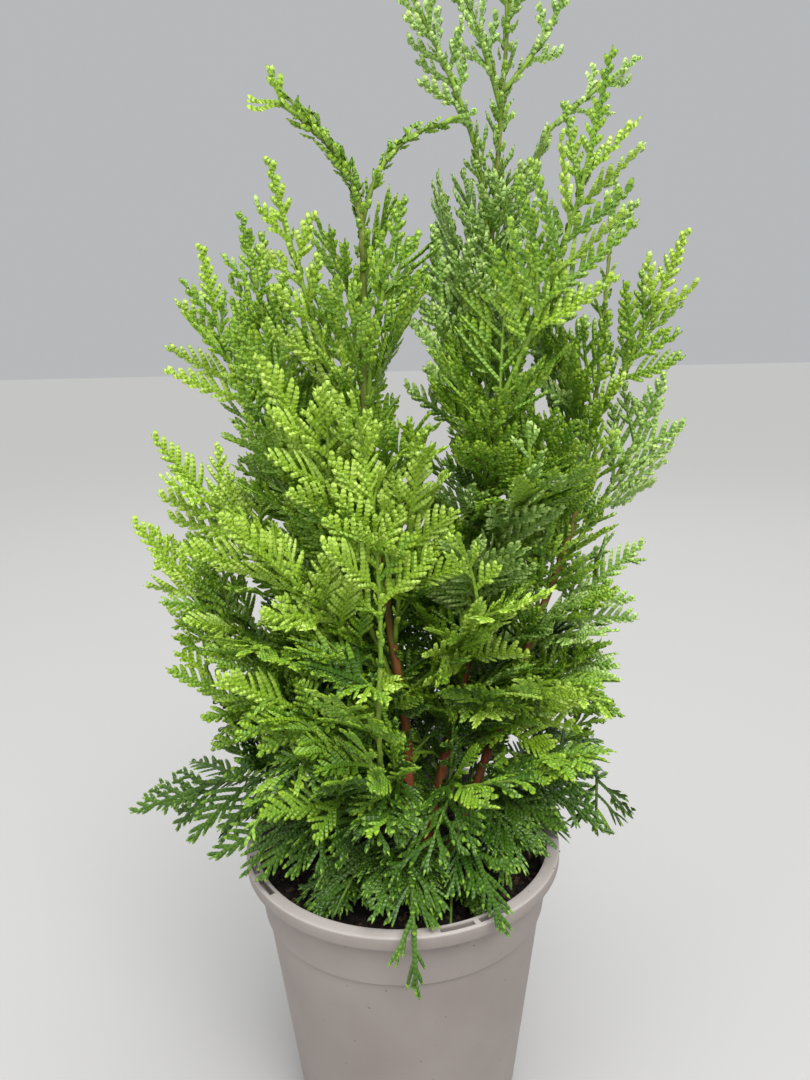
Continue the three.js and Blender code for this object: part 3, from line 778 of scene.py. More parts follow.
def shoots_of(spray, draw, comb):
    """The rachis of a spray and its branchlets, longer on its upper side, in the spray's own plane."""
    length, height = spray["length"], spray["root"][2]
    rows = [(0, 0, 0, length, RACHIS_HALF, 0, 0, 1)]
    feathery = 1 - smoothstep(height, *FEATHERY_OVER)
    pitch = (COMB_PITCH if comb else FAN_PITCH) * (1 + FEATHERY_PITCH * feathery)
    half = graded(height, *BRANCHLET_HALF) * (1 - FEATHERY_HALF * feathery)
    most = (LONGEST_COMB if comb else LONGEST_FAN) * (1 + FEATHERY_LENGTH * feathery)
    lean = float(np.cross(spray["face"], spray["way"])[2])
    x = pitch * (0.9 + 0.5 * draw())
    side = 1 if draw() < 0.5 else -1
    while x < length - LEAST_SHOOT:
        share = x / length
        over = lean * side
        angle = mix(*BRANCHLET_ANGLES, share) + UPPER_ANGLE * over - FEATHERY_ANGLE * feathery
        angle = math.radians(angle + scatter(draw, SHOOT_SCATTER))
        wide = half_width_at(spray, share) / math.sin(angle)
        size = min(max(wide, LEAST_BRANCHLET), most * (1 - 0.5 * share))
        size *= (1 + UPPER_LONGER * over) * mix(*SHOOT_SIZES, draw())
        size = min(size, (length - x) * 1.5 + 2)
        tilt = scatter(draw, SHOOT_TILT)
        rows.append((x, 0, side * angle, size, half, tilt, scatter(draw, SHOOT_ROLL), 0))
        if size > FORKED_FROM and not comb:
            rows += side_shoots(x, side * angle, size, half, tilt, draw)
        x += pitch / 2 * mix(*PITCH_SCATTER, draw())
        side = -side
    return np.array(rows)


def side_shoots(x, angle, size, half, tilt, draw):
    """The short side shoots of a forked branchlet."""
    rows = []
    step = 4.4 + draw()
    where = SIDE_FIRST
    side = 1 if angle > 0 else -1
    while where < size - SIDE_LAST:
        small = min(SIDE_LENGTH + SIDE_MORE * draw(), (size - where) * 1.3)
        centre = (x + math.cos(angle) * where, math.sin(angle) * where)
        rows.append((*centre, angle + side * SIDE_TURN, small, half * SIDE_HALF, tilt, 0, 0))
        where += step / 1.6
        side = -side
    return rows


def ribbon(spray, rows, closed, plain):
    """Flat shoots of paired scale leaves: verts, quads and each quad's share along its shoot.

    A plain one, deep in the crown, has one ring to a pair of scales and no notches.
    """
    scales = np.maximum(np.round(rows[:, 3] / SCALE_PITCH), 2).astype(int)
    verts, quads, shares, base = [], [], [], 0
    columns = 4 if closed else 3
    edges = np.array((-1, 0, 1, 0)[:columns])
    for count in np.unique(scales):
        part = rows[scales == count]
        rings = (1 if plain else 2) * count + 1
        s = np.linspace(0, 1, rings)
        bulge = np.arange(rings) % 2 == 1
        x0, y0, angle, size, half, tilt, roll = (part[:, k][:, None] for k in range(7))
        bend = angle * (1 - SHOOT_BEND * s)
        a = size * s
        x = x0 + a * np.cos(bend)
        y = y0 + a * np.sin(bend)
        z = tilt * a - (0 if closed else CUP) * a * a
        blunt = np.sqrt(np.clip(1 - (s * 0.985) ** 5, 0, 1))
        notch = PLAIN_NOTCH if plain else np.where(bulge, 1.0, NOTCH)
        w = half * notch * blunt * (1 - SHOOT_TAPER * s)
        h = half * (PLAIN_RIDGE if plain else np.where(bulge, *RIDGES)) * blunt
        side_x, side_y, side_z = -np.sin(bend) * np.cos(roll), np.cos(bend) * np.cos(roll), np.sin(roll)
        ring = [np.stack([x + side_x * w, y + side_y * w, z + side_z * w], -1), np.stack([x, y, z + h], -1),
                np.stack([x - side_x * w, y - side_y * w, z - side_z * w], -1)]
        if closed:
            ring.append(np.stack([x, y, z - h], -1))
        grid = np.stack(ring, 2)
        along = np.broadcast_to(s[None, :, None] * count, grid.shape[:3])
        beside = np.broadcast_to(edges[None, None], grid.shape[:3])
        verts.append(np.concatenate([grid, along[..., None], beside[..., None]], -1).reshape(-1, 5))
        n = len(part)
        index = base + np.arange(n * rings * columns).reshape(n, rings, columns)
        for k in range(columns if closed else columns - 1):
            here, there = index[..., k], index[..., (k + 1) % columns]
            quad = np.stack([here[:, :-1], there[:, :-1], there[:, 1:], here[:, 1:]], -1)
            quads.append(quad.reshape(-1, 4))
            shares.append(np.tile((s[:-1] + s[1:]) / 2, (n, 1)).ravel())
        base += n * rings * columns
    verts = np.vstack(verts)
    placed = np.hstack([on_blade(spray, verts[:, :3]), verts[:, 3:]])
    return placed, np.vstack(quads), np.concatenate(shares)


TIP_OF = {DEEP: MID, MID: YOUNG, YOUNG: LIGHT, BLUE: FROST}
# Lighter and darker copies of each green, used for painted light and shade
LIGHTER = {DEEP: MID, MID: YOUNG, YOUNG: YOUNG, BLUE: BLUE}
DARKER = {DEEP: DEEP, MID: DEEP, YOUNG: MID, BLUE: MID}


def outward_of(end):
    """How far out in the crown a spray's end is: near 1 at its skin."""
    return math.hypot(end[0] - CROWN_X, end[1]) / graded(end[2], *CROWN_SKIN)


def tone_of(mass, spray, draw):
    """The green of a spray: its mass's own, with painted light and shade: lighter towards the outside,
    darker within, low down and towards the back.
    """
    end = spray["root"] + spray["way"] * spray["length"]
    low_shade = LOW_SHADE * (1 - smoothstep(end[2], *SHADED_OVER))
    level = outward_of(end) + scatter(draw, TONE_SCATTER) - BACK_SHADE * end[1] / 100 - low_shade
    if mass["name"] == "front_droop":
        return mass["tone"]
    if level > LIGHTER_FROM:
        return LIGHTER[mass["tone"]]
    if level < graded(end[2], *DARKER_BELOW):
        return DARKER[mass["tone"]]
    return mass["tone"]


def keep_quads(verts, quads, wanted):
    chosen = quads[wanted]
    used, back = np.unique(chosen, return_inverse=True)
    return verts[used], back.reshape(chosen.shape)


def dress(mass, sprays):
    """The leaves of one mass: a list of green, verts and quads."""
    leaves = []
    draw = seeded(mass["seed"] * SEED_STEP + 501)
    combs = COMBS_OUTSIDE if mass["name"].startswith(("front", "left", "stem")) else COMBS_ELSEWHERE
    for spray in sprays:
        comb = draw() < combs
        tone = tone_of(mass, spray, draw)
        plain = "reach" in mass and outward_of(spray["root"]) < PLAIN_WITHIN
        rows = shoots_of(spray, draw, comb)
        if "stub" in spray:
            rows = np.array([(0, 0, 0, spray["length"], STUB_HALF, 0, 0, 0)])
        x, y, angle, size, _, tilt = rows.T[:6]
        ends = np.stack([x + np.cos(angle) * size, y + np.sin(angle) * size, tilt * size], 1)
        rows = rows[~in_pot(on_blade(spray, ends))]
        branchlet_tip = graded(spray["root"][2], *TIP_SHARE)
        for is_rachis, tip_from in ((True, RACHIS_TIP), (False, branchlet_tip)):
            part = rows[rows[:, 7] == is_rachis]
            if len(part):
                verts, quads, shares = ribbon(spray, part, is_rachis, plain)
                tip = shares > tip_from
                for chosen, green in ((~tip, tone), (tip, TIP_OF[tone])):
                    if chosen.any():
                        leaves.append((green, *keep_quads(verts, quads, chosen)))
    return leaves


# Meshes

def link(name, mesh):
    made = bpy.data.objects.new(name, mesh)
    bpy.context.scene.collection.objects.link(made)
    return made


def shell(name, verts, faces, finish):
    """A mesh of faces with any number of corners."""
    mesh = bpy.data.meshes.new(name)
    mesh.from_pydata([tuple(c * MM for c in v) for v in verts], [], faces)
    mesh.materials.append(finish)
    return link(name, mesh)


def mesh_object(name, verts, quads, finish, smooth=False):
    """A mesh of like faces. Two more columns beside x, y and z are a place along and across a shoot."""
    mesh = bpy.data.meshes.new(name)
    mesh.vertices.add(len(verts))
    mesh.vertices.foreach_set("co", (verts[:, :3] * MM).astype(np.float32).ravel())
    mesh.loops.add(quads.size)
    mesh.loops.foreach_set("vertex_index", quads.astype(np.int32).ravel())
    mesh.polygons.add(len(quads))
    mesh.polygons.foreach_set("loop_start", np.arange(0, quads.size, quads.shape[1], dtype=np.int32))
    mesh.polygons.foreach_set("use_smooth", np.full(len(quads), smooth))
    mesh.materials.append(finish)
    if verts.shape[1] == 5:
        layer = mesh.uv_layers.new(name="scales")
        layer.data.foreach_set("uv", verts[quads.ravel(), 3:].astype(np.float32).ravel())
    mesh.update(calc_edges=True)
    mesh.validate()
    return link(name, mesh)


def place_piece(made, nodes=()):
    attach(made, "root")
    if nodes:
        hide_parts(*nodes)


def joined(parts):
    verts, quads, base = [], [], 0
    for some_verts, some_quads in parts:
        verts.append(some_verts)
        quads.append(some_quads + base)
        base += len(some_verts)
    return np.vstack(verts), np.vstack(quads)


def limb_tube(curve, radius, start, side, sides, step, relief, seed):
    """A limb's skin: rings along a curve, with the relief of bark or scale leaves."""
    count = max(int(length_of(curve) / step), 4)
    t = np.linspace(0, 1, count + 1)
    along = tangent(curve, t)
    across = unit(side - along * (along @ side)[:, None])
    over = np.cross(across, along)
    centre = curve(t)
    if start:
        centre = np.vstack([centre[0] - along[0] * start, centre])
        across, over, t = (np.concatenate([q[:1], q]) for q in (across, over, t))
    turn = np.arange(sides) * 2 * math.pi / sides
    s = np.arange(len(t))[:, None] * step
    r = np.asarray(radius(t))[:, None] * relief(s, turn[None], seed)
    ring = across[:, None] * np.cos(turn)[None, :, None] + over[:, None] * np.sin(turn)[None, :, None]
    verts = (centre[:, None] + ring * r[..., None]).reshape(-1, 3)
    index = np.arange(len(t) * sides).reshape(len(t), sides)
    after = np.roll(index, -1, axis=1)
    quads = np.stack([index[:-1], after[:-1], after[1:], index[1:]], -1).reshape(-1, 4)
    caps = []
    for rim, order in ((index[0], -1), (index[-1], 1)):
        middle = len(verts)
        verts = np.vstack([verts, verts[rim].mean(0)])
        for k in range(0, sides, 2):
            caps.append([rim[k], rim[(k + 1) % sides], rim[(k + 2) % sides], middle][::order])
    return verts, np.vstack([quads, caps])


def bark_relief(s, turn, seed):
    """Long shallow fissures that wander round the stem, and the rings of old leaf scars."""
    wander = 0.6 * np.sin(s * 0.043 + seed) + 0.35 * np.sin(s * 0.11 + seed * 2.3)
    fissure = 0.045 * np.sin(7 * (turn + wander)) + 0.03 * np.sin(11 * (turn - wander * 0.7) + s * 0.21)
    flake = 0.028 * np.sin(s * 0.9 + 3 * np.sin(turn * 2 + seed)) * np.sin(turn * 3 + s * 0.05)
    swell = 0.05 * np.sin(s * 0.13 + seed * 1.7) ** 2
    return 1 + fissure + flake + swell


def stem_relief(s, turn, seed):
    """Bark low on a stem and pressed scale leaves near its top."""
    return graded(s, (bark_relief(s, turn, seed), shoot_relief(s, turn, seed)), BARE_BARK)


def shoot_relief(s, turn, seed):
    """Pairs of pressed scale leaves, each pair a quarter turn from the last."""
    phase = np.floor(s / PRESSED_PAIR) % 2 * (math.pi / 2)
    lift = (s / PRESSED_PAIR) % 1
    leaf = 0.5 * lift * np.clip(np.cos(2 * (turn - phase + seed * 0.3)), 0, 1)
    return 0.86 + leaf


def smooth_relief(s, turn, seed):
    return np.ones((len(s), turn.size))


# Materials

def linear(color):
    """A screen colour from 0 to 255 as light."""
    return [(c / 255) ** 2.2 for c in color]


class Finish:
    """A material and what its shader is fed with."""

    def __init__(self, name, roughness=0.5):
        self.material = bpy.data.materials.new(name)
        self.material.use_nodes = True
        self.tree = self.material.node_tree
        self.shader = self.tree.nodes["Principled BSDF"].inputs
        self.shader["Roughness"].default_value = roughness
        coords = self.tree.nodes.new("ShaderNodeTexCoord").outputs
        self.place, self.scales = coords["Object"], coords["UV"]

    def node(self, kind, **values):
        """A new node of a kind, with values or links for its inputs: their names, or in and a number."""
        made = self.tree.nodes.new("ShaderNode" + kind)
        for name, value in values.items():
            key = int(name[2:]) if name.startswith("in") else name.replace("_", " ")
            self.feed(value, made.inputs[key])
        return made

    def feed(self, value, socket):
        if hasattr(value, "links"):
            self.tree.links.new(value, socket)
        else:
            socket.default_value = value

    def noise(self, scale, detail, stretch=None):
        place = self.place
        if stretch:
            place = self.node("Mapping", Vector=place, Scale=stretch).outputs["Vector"]
        return self.node("TexNoise", Scale=scale, Detail=detail, Vector=place).outputs["Fac"]

    def ramp(self, factor, *stops):
        made = self.node("ValToRGB", in0=factor)
        elements = made.color_ramp.elements
        for k, (place, color) in enumerate(stops):
            element = elements[k] if k < 2 else elements.new(place)
            element.position = place
            element.color = (*linear(color), 1)
        return made.outputs["Color"]

    def mix(self, factor, first, second, blend="MIX"):
        made = self.tree.nodes.new("ShaderNodeMix")
        made.data_type = "RGBA"
        made.blend_type = blend
        for value, socket in zip((factor, first, second), (made.inputs[k] for k in (0, 6, 7))):
            self.feed((*linear(value), 1) if isinstance(value, tuple) else value, socket)
        return made.outputs[2]

    def math(self, operation, *values):
        made = self.node("Math", **{f"in{k}": value for k, value in enumerate(values)})
        made.operation = operation
        return made.outputs["Value"]

    def rise(self, low, high, top=1):
        """From 0 at one height to a top value at another."""
        height = self.node("SeparateXYZ", in0=self.place).outputs["Z"]
        found = self.node("MapRange", Value=height, From_Min=low * MM, From_Max=high * MM, To_Max=top)
        return found.outputs["Result"]

    def bump(self, height, strength, distance):
        found = self.node("Bump", Strength=strength, Distance=distance, Height=height)
        self.feed(found.outputs["Normal"], self.shader["Normal"])


def leaf_material(name, dark, light, roughness):
    """Greens in broad patches, with painted shade in the crease at the base of each scale leaf, and each
    scale raised by a bump along each shoot.
    """
    made = Finish(name, roughness)
    split = made.node("SeparateXYZ", in0=made.scales).outputs
    beside = made.math("ABSOLUTE", split["Y"])
    scale = made.math("FRACT", made.math("MULTIPLY_ADD", beside, 0.3, split["X"]))
    broad = made.ramp(made.noise(38, 3), (0.32, dark), (0.7, light))
    # Painted shade: the broad green is multiplied by the ramp that darkens each scale leaf's crease
    made.feed(made.mix(1.0, broad, made.ramp(scale, *PAINTED_SCALE_CREASE_SHADE), "MULTIPLY"), made.shader["Base Color"])
    made.bump(made.math("MULTIPLY", scale, made.math("SUBTRACT", 1.0, scale)), 0.7, 0.0022)
    return made.material


def bark_material(name, low_color, high_color, from_height, to_height):
    """Fibrous wood that turns green between two heights, in patches."""
    made = Finish(name, 0.66)
    fibre = made.noise(240, 6, (1, 1, 0.12))
    wander = made.math("MULTIPLY_ADD", made.noise(60, 3), 0.9, made.rise(from_height, to_height))
    shift = made.math("SUBTRACT", wander, 0.45)
    dark, bright = [c * 0.62 for c in low_color], [min(c * 1.2, 255) for c in low_color]
    wood = made.ramp(fibre, (0.34, dark), (0.52, low_color), (0.72, bright))
    green = made.ramp(fibre, (0.34, [c * 0.75 for c in high_color]), (0.65, high_color))
    made.feed(made.mix(shift, wood, green), made.shader["Base Color"])
    made.bump(fibre, 0.7, 0.0006)
    return made.material


def pot_material():
    """Clouded plastic with worn streaks, a rim top painted lighter, partly as wear and partly as a painted
    highlight, and specks of dirt.
    """
    made = Finish("pot_plastic")
    cloud = made.noise(14, 4)
    base = made.ramp(cloud, (0.3, (135, 125, 120)), (0.7, (150, 141, 136)))
    streaks = made.ramp(made.noise(60, 5, (1, 1, 0.08)), (0.62, (0, 0, 0)), (0.8, (70, 70, 70)))
    worn = made.mix(streaks, base, (186, 178, 172))
    # The top of the rim is painted lighter by height: part wear, part a painted highlight from the light
    # above
    rubbed_and_highlit_rim = made.mix(made.rise(POT_HEIGHT - 1.3, POT_HEIGHT - 0.3, 0.6), worn, (190, 183, 178))
    specks = made.ramp(made.noise(330, 1), (0.765, (0, 0, 0)), (0.79, (255, 255, 255)))
    made.feed(made.mix(specks, rubbed_and_highlit_rim, (112, 100, 90)), made.shader["Base Color"])
    gloss = made.node("MapRange", Value=cloud, To_Min=0.4, To_Max=0.62)
    made.feed(gloss.outputs["Result"], made.shader["Roughness"])
    made.shader["Specular IOR Level"].default_value = 0.45
    made.bump(made.noise(900, 3), 0.12, 0.0002)
    return made.material


def soil_material(name, dark, light):
    made = Finish(name, 0.92)
    made.feed(made.ramp(made.noise(210, 6), (0.35, dark), (0.66, light)), made.shader["Base Color"])
    made.bump(made.noise(900, 4), 0.8, 0.0008)
    return made.material


# Pot

def pot_profile(in_slot):
    """Radius and height round the pot's section, from the middle of its underside to that of its floor."""
    top, low, lip = POT_HEIGHT, COLLAR_LOW, POT_HEIGHT - LIP_HEIGHT
    rim, inner, collar, base = RIM_RADIUS, RIM_RADIUS - LIP_WIDTH, COLLAR_RADIUS_TOP, BASE_RADIUS
    slot_out = rim - LIP_WIDTH / 2 + SLOT_WIDTH / 2
    slot_in = slot_out - SLOT_WIDTH
    slot_floor = top - SLOT_DEPTH if in_slot else top
    body = [(mix(base, COLLAR_FOOT, z / low), z) for z in np.linspace(BASE_BEVEL, low, 12)]
    inside = [(r - WALL, max(z, WALL)) for r, z in body[::-1]]
    inside[0] = (COLLAR_FOOT - WALL, low - COLLAR_EDGE)
    return [
        (0, 0), (base * 0.5, 0), (base - BASE_BEVEL, 0), (base - 0.5, 0.5), *body[:-1],
        (COLLAR_FOOT - 0.1, low - 1.3), (COLLAR_FOOT - 0.7, low - 0.9), (COLLAR_FOOT - 0.7, low),
        (COLLAR_RADIUS_LOW - 0.3, low), (COLLAR_RADIUS_LOW, low + 0.3),
        (mix(COLLAR_RADIUS_LOW, collar, 0.5), (low + lip) / 2),
        (collar, lip - 1.2), (collar + 0.4, lip - 0.2), (collar + 1.2, lip),
        (rim - 0.7, lip), (rim - 0.2, lip + 0.2), (rim, lip + 0.7),
        (rim, top - 0.6), (rim - 0.18, top - 0.18), (rim - 0.6, top),
        (slot_out, top), (slot_out, slot_floor), (slot_in, slot_floor), (slot_in, top),
        (inner + 0.5, top), (inner + 0.1, top - 0.15), (inner - 0.1, top - 0.7),
        (COLLAR_INNER_TOP, lip - LIP_CHAMFER), *inside, (base - WALL, WALL), (base * 0.5, WALL), (0, WALL),
    ]


def pot_columns():
    """Angles round the pot, each with whether the rim has a slot there: two at each end of a slot."""
    slots = []
    for k in range(SLOT_COUNT):
        centre = SLOT_FIRST_DEG + 360 / SLOT_COUNT * k
        for low, high in ((-SLOT_ARC_DEG, -SLOT_RIB_DEG), (SLOT_RIB_DEG, SLOT_ARC_DEG)):
            slots.append(((centre + low / 2) % 360, (centre + high / 2) % 360))
    made = []
    for k in range(POT_COLUMNS):
        angle = 360 * k / POT_COLUMNS
        if all(abs((angle - end + 180) % 360 - 180) >= COLUMN_CLEAR for slot in slots for end in slot):
            made.append((angle, any((angle - low) % 360 < (high - low) % 360 for low, high in slots)))
    for low, high in slots:
        made += [(low - SLOT_END, False), (low + SLOT_END, True)]
        made += [(high - SLOT_END, True), (high + SLOT_END, False)]
    return sorted((angle % 360, inside) for angle, inside in made)


def make_pot():
    columns = pot_columns()
    profiles = {inside: pot_profile(inside)[1:-1] for inside in (False, True)}
    step, n = len(profiles[False]), len(columns)
    verts, faces = [], []
    for angle, inside in columns:
        turn = math.radians(angle)
        verts += [(radius * math.cos(turn), radius * math.sin(turn), z) for radius, z in profiles[inside]]
    below, above = len(verts), len(verts) + 1
    verts += [(0, 0, 0), (0, 0, WALL)]
    for k in range(n):
        here, there = k * step, (k + 1) % n * step
        faces.append((below, there, here))
        for row in range(step - 1):
            faces.append((here + row, there + row, there + row + 1, here + row + 1))
        faces.append((above, here + step - 1, there + step - 1))
    made = shell("pot_shell", verts, faces, pot_material())
    weld(made)
    cut_drains(made)
    made.data.shade_smooth()
    made.data.set_sharp_from_angle(angle=math.radians(SHARP_DEG))
    place_piece(made, ["pot"])


def weld(made):
    """Joins the points of the rim's flat top that fall together, and drops what has no area."""
    fix = made.modifiers.new("weld", "WELD")
    fix.merge_threshold = 0.000002
    apply_modifiers(made)


def cut_drains(made):
    cutters = []
    for k in range(DRAIN_COUNT):
        at = heading(math.radians(360 / DRAIN_COUNT) * (k + 0.5)) * DRAIN_CIRCLE + vec((0, 0, WALL / 2))
        bpy.ops.mesh.primitive_cylinder_add(
            radius=DRAIN_RADIUS * MM, depth=WALL * 4 * MM, vertices=40, location=tuple(at * MM)
        )
        cut = made.modifiers.new("drain", "BOOLEAN")
        cut.operation = "DIFFERENCE"
        cut.solver = "EXACT"
        cut.object = bpy.context.object
        cutters.append(cut.object)
    apply_modifiers(made)
    for cutter in cutters:
        bpy.data.objects.remove(cutter, do_unlink=True)


def apply_modifiers(made):
    graph = bpy.context.evaluated_depsgraph_get()
    mesh = bpy.data.meshes.new_from_object(made.evaluated_get(graph))
    old = made.data
    made.modifiers.clear()
    made.data = mesh
    bpy.data.meshes.remove(old)


# Compost

def soil_height(x, y):
    dome = SOIL_DOME * (1 - smoothstep(math.hypot(x, y) / SOIL_RADIUS, 0.5, 1.0))
    lumps = 0
    for height, closeness, level in SOIL_LUMPS:
        lumps += height * noise.noise(Vector((x * closeness, y * closeness, level)))
    return SOIL_TOP - SOIL_DOME - SOIL_SUNK + dome + lumps


def make_soil():
    """The top of the compost, rough, and its plain sides against the pot's wall."""
    rings, around = SOIL_RINGS, SOIL_AROUND

    def ring_of(radius, ring):
        turns = [2 * math.pi * (k + ring * 0.5) / around for k in range(around)]
        return [(radius * math.cos(turn), radius * math.sin(turn)) for turn in turns]

    verts = [(0, 0, soil_height(0, 0))]
    for ring in range(1, rings + 1):
        verts += [(x, y, soil_height(x, y)) for x, y in ring_of(SOIL_RADIUS * ring / rings, ring)]
    faces = [(0, 1 + k, 1 + (k + 1) % around) for k in range(around)]
    for ring in range(rings - 1):
        for k in range(around):
            a, b = 1 + ring * around + k, 1 + ring * around + (k + 1) % around
            faces.append((a, a + around, b + around, b))
    edge = 1 + (rings - 1) * around
    sides = [(COLLAR_LOW - COLLAR_EDGE, COLLAR_FOOT), (WALL + 0.3, BASE_RADIUS)]
    for z, radius in sides:
        start = len(verts)
        verts += [(x, y, z) for x, y in ring_of(radius - WALL - SOIL_GAP, rings)]
        for k in range(around):
            after = (k + 1) % around
            faces.append((edge + k, start + k, start + after, edge + after))
        edge = start
    faces.append(tuple(edge + k for k in range(around))[::-1])
    made = shell("compost", verts, faces, soil_material("compost", *COMPOST_COLORS))
    made.data.shade_smooth()
    place_piece(made, ["soil"])


def icosahedron():
    """The twelve corners of a round crumb and its twenty triangles."""
    phi = (1 + 5**0.5) / 2
    corners = np.array([(a, b * phi, 0) for a in (-1, 1) for b in (-1, 1)])
    shape = unit(np.vstack([corners, corners[:, [2, 0, 1]], corners[:, [1, 2, 0]]]))
    gaps = np.linalg.norm(shape[:, None] - shape[None], axis=-1)
    near = (gaps > 0.1) & (gaps < 1.2)
    triangles = []
    for a, b, c in itertools.combinations(range(12), 3):
        if near[a, b] and near[b, c] and near[a, c]:
            outward = np.cross(shape[b] - shape[a], shape[c] - shape[a]) @ shape[a] > 0
            triangles.append((a, b, c) if outward else (c, b, a))
    return shape, np.array(triangles)


def on_soil(rng, reach):
    radius, turn = reach * math.sqrt(rng.random()), rng.random() * 2 * math.pi
    return radius * math.cos(turn), radius * math.sin(turn)


def make_crumbs():
    """Bits of bark and peat on the compost, in three colours."""
    shape, triangles = icosahedron()
    rng = np.random.default_rng(11)
    parts = [[] for _ in CRUMB_KINDS]
    for _ in range(CRUMBS):
        x, y = on_soil(rng, SOIL_RADIUS - 3)
        kind = next(k for k, row in enumerate(CRUMB_KINDS) if rng.random() < row[3])
        size = rng.uniform(*CRUMB_KINDS[kind][4])
        scale = size * rng.uniform(*CRUMB_SHAPES)
        spin = np.array(Matrix.Rotation(rng.random() * 6.3, 3, Vector(rng.normal(size=3)).normalized()))
        verts = (shape * rng.uniform(0.75, 1.15, (12, 1)) * scale) @ spin.T
        parts[kind].append((verts + vec((x, y, soil_height(x, y) + size * 0.2)), triangles))
    for (name, dark, light, _, _), part in zip(CRUMB_KINDS, parts):
        place_piece(mesh_object(name, *joined(part), soil_material(name, dark, light)))


def make_fibres():
    """Dry roots and fibres that lie on the compost."""
    rng = np.random.default_rng(23)
    parts = []
    for _ in range(FIBRES):
        x, y = on_soil(rng, SOIL_RADIUS - 12)
        way, bend, size = rng.random() * 2 * math.pi, rng.normal() * 0.09, rng.uniform(*FIBRE_LENGTHS)
        points = []
        step = size / (FIBRE_POINTS - 1)
        for _ in range(FIBRE_POINTS):
            points.append((x, y, soil_height(x, y) + 0.5 + rng.random() * 1.1))
            x, y = x + math.cos(way) * step, y + math.sin(way) * step
            way += bend + rng.normal() * 0.16
        if math.hypot(x, y) > SOIL_RADIUS - 2:
            continue
        thick = rng.uniform(*FIBRE_RADII)

        def radius(t, thick=thick):
            return thick * (1 - 0.6 * t)

        side = vec((0.3, 0.2, 1))
        parts.append(limb_tube(catmull(points), radius, 0, side, 4, size / 10, smooth_relief, 1))
    finish = soil_material("dry_fibre", (70, 50, 37), (124, 100, 78))
    place_piece(mesh_object("dry_fibres", *joined(parts), finish))


# Plant

def make_wood(limbs, masses, inner):
    bark = bark_material("bark_red", (138, 72, 44), (132, 150, 60), 270, 410)
    green_bark = bark_material("bark_green", (132, 112, 52), (130, 158, 50), 130, 250)
    side = vec((1, 0, 0))
    for number, limb in enumerate(limbs.values()):
        is_stem = limb["name"].startswith("stem")
        sides, relief = (16, stem_relief) if is_stem else (12, shoot_relief)
        path = limb["curve"], limb["radius"], limb["sunk"], side
        tube = limb_tube(*path, sides, LIMB_STEP, relief, number + 1)
        piece = mesh_object(limb["name"] + "_bark", *tube, bark if is_stem else green_bark, smooth=True)
        place_piece(piece, [limb["name"]])

    def twig_tube(twig, sunk, reach, foot, tip, sides):
        def curve(t):
            return twig["curve"](np.atleast_1d(t) * reach)

        def radius(t):
            return mix(foot, tip, t)

        return limb_tube(curve, radius, sunk, twig["face"], sides, TWIG_STEP, shoot_relief, twig["seed"])

    foot, tip = TWIG_RADIUS * 1.25, TWIG_TIP_RADIUS * 1.4
    tubes = [twig_tube(mass, mass["sunk"], mass["end"]["share"], foot, tip, 6) for mass in masses]
    tubes += [twig_tube(twig, 0, TWIG_SHOWN, INNER_RADIUS, TWIG_TIP_RADIUS, 4) for twig in inner]
    finish = bark_material("twig_green", (84, 112, 34), (138, 174, 54), 170, 400)
    nodes = ["foliage_" + mass["name"] for mass in masses]
    place_piece(mesh_object("twigs", *joined(tubes), finish, smooth=True), nodes)


LEAF_LOOKS = {
    DEEP: ("leaf_deep", "foliage_deep", (54, 88, 20), (84, 120, 34)),
    MID: ("leaf_mid", "foliage_mid", (104, 146, 38), (140, 178, 56)),
    YOUNG: ("leaf_young", "foliage_young", (132, 168, 40), (162, 196, 62)),
    LIGHT: ("leaf_light", "foliage_young", (166, 202, 72), (196, 224, 102)),
    BLUE: ("leaf_blue", "foliage_blue", (116, 154, 64), (150, 184, 90)),
    FROST: ("leaf_frost", "foliage_blue", (166, 200, 104), (194, 220, 132)),
}


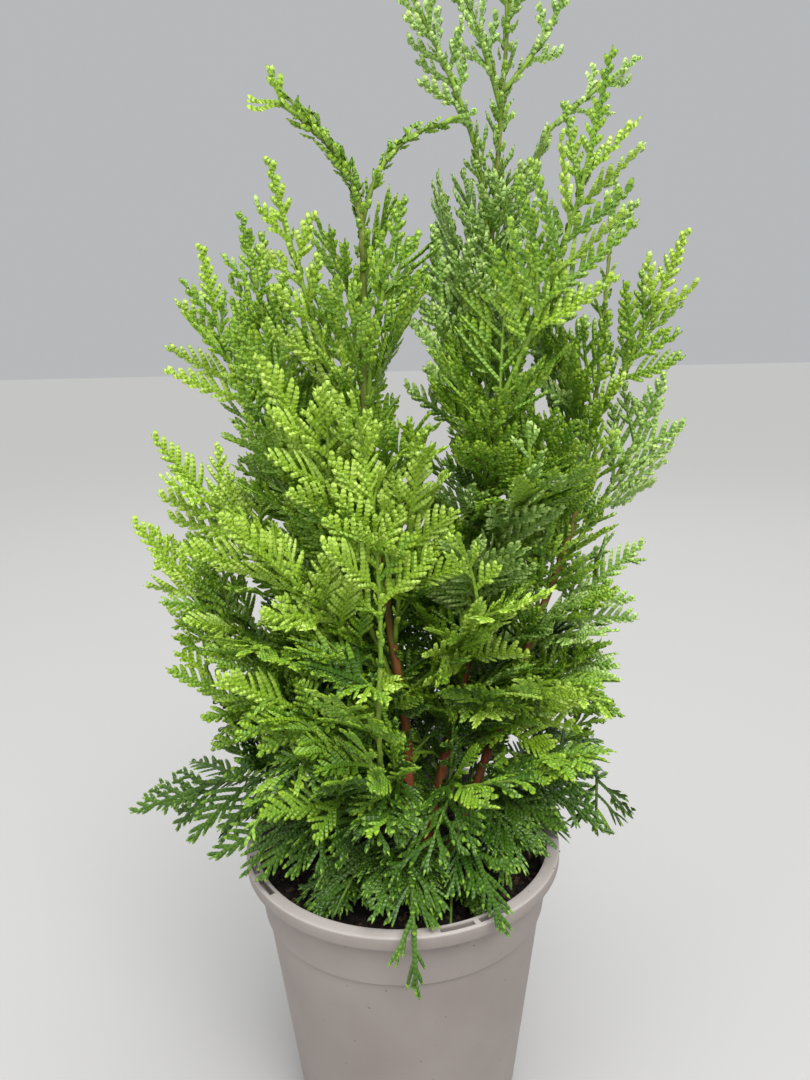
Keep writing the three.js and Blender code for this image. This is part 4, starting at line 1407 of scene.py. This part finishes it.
def make_leaves(limbs, masses, inner):
    lines = np.stack([mass["line"] for mass in masses])
    limb_lines = np.stack([limb["line"] for limb in limbs.values()])
    limb_gaps = np.array([limb["foot"] + LIMB_MARGIN for limb in limbs.values()])
    grown = []
    for mass in masses:
        sprays = grow_sprays(mass, lines, limb_lines, limb_gaps)
        grown.append((mass, sprays + stubs(mass, mass["seed"], 0.05, mass["end"]["share"], TWIG_RADIUS)))
    for number, limb in enumerate(limbs.values()):
        start = share_at_height(limb["curve"], STUBS_FROM)
        tone = BLUE if "upper" in limb["name"] else MID
        leader = {"name": limb["name"], "tone": tone, "seed": 300 + number}
        grown.append((leader, stubs(limb, leader["seed"], start, 0.98, limb["foot"])))
    grown += [(twig, twig_sprays(twig)) for twig in inner]
    shelves = {tone: [[]] for tone in LEAF_LOOKS}
    counts = dict.fromkeys(LEAF_LOOKS, 0)
    for mass, sprays in grown:
        by_tone = {}
        for tone, verts, quads in dress(mass, sprays):
            by_tone.setdefault(tone, []).append((verts, quads))
        for tone, parts in by_tone.items():
            verts, quads = joined(parts)
            if counts[tone] + 2 * len(quads) > PIECE_TRIANGLES:
                shelves[tone].append([])
                counts[tone] = 0
            counts[tone] += 2 * len(quads)
            shelves[tone][-1].append((mass["name"], verts, quads))
    for tone, (name, slot_name, dark, light) in LEAF_LOOKS.items():
        finish = leaf_material(name, dark, light, 0.36 if tone in (LIGHT, YOUNG) else 0.42)
        for number, shelf in enumerate(shelves[tone]):
            if shelf:
                names = {mass_name for mass_name, _, _ in shelf}
                nodes = ["foliage_" + mass["name"] for mass in masses if mass["name"] in names]
                mesh = joined([(verts, quads) for _, verts, quads in shelf])
                place_piece(mesh_object(f"{name}_{number + 1}", *mesh, finish), nodes)


# Camera, floor and light

def make_studio():
    scene = bpy.context.scene
    camera_data = bpy.data.cameras.new("camera")
    camera_data.sensor_width = SENSOR
    camera_data.lens = FOCAL_PX * SENSOR / PHOTO_HEIGHT_PX
    camera_data.clip_start = 0.01
    scene.camera = link("camera", camera_data)
    pitch = Matrix.Rotation(math.radians(90 - PITCH_DEG), 4, "X")
    tilt = pitch @ Matrix.Rotation(math.radians(ROLL_DEG), 4, "Z")
    scene.camera.matrix_world = Matrix.Translation(Vector(CAMERA_AT) * MM) @ tilt

    bpy.ops.mesh.primitive_plane_add(size=40, location=(0, 0, 0))
    floor = bpy.context.object
    floor.name = "floor"
    finish = Finish("floor", 0.8)
    finish.shader["Base Color"].default_value = FLOOR_COLOR
    floor.data.materials.append(finish.material)

    world = bpy.data.worlds.new("studio")
    world.use_nodes = True
    sky = world.node_tree.nodes["Background"].inputs
    sky["Color"].default_value = SKY_COLOR
    sky["Strength"].default_value = SKY_STRENGTH
    scene.world = world
    scene.view_settings.view_transform = "Standard"
    for kind, name, at, size, power in LAMPS:
        lamp = bpy.data.lights.new(name, kind)
        setattr(lamp, "angle" if kind == "SUN" else "size", size)
        lamp.energy = power
        holder = link(name, lamp)
        holder.location = at
        holder.rotation_euler = (Vector(LIT_POINT) - Vector(at)).to_track_quat("-Z", "Y").to_euler()


make_studio()
limbs = lay_out_limbs()
masses = lay_out_masses(limbs)
inner = all_inner_twigs(limbs, masses) + skirt_twigs(limbs)
make_pot()
make_soil()
make_crumbs()
make_fibres()
make_wood(limbs, masses, inner)
make_leaves(limbs, masses, inner)
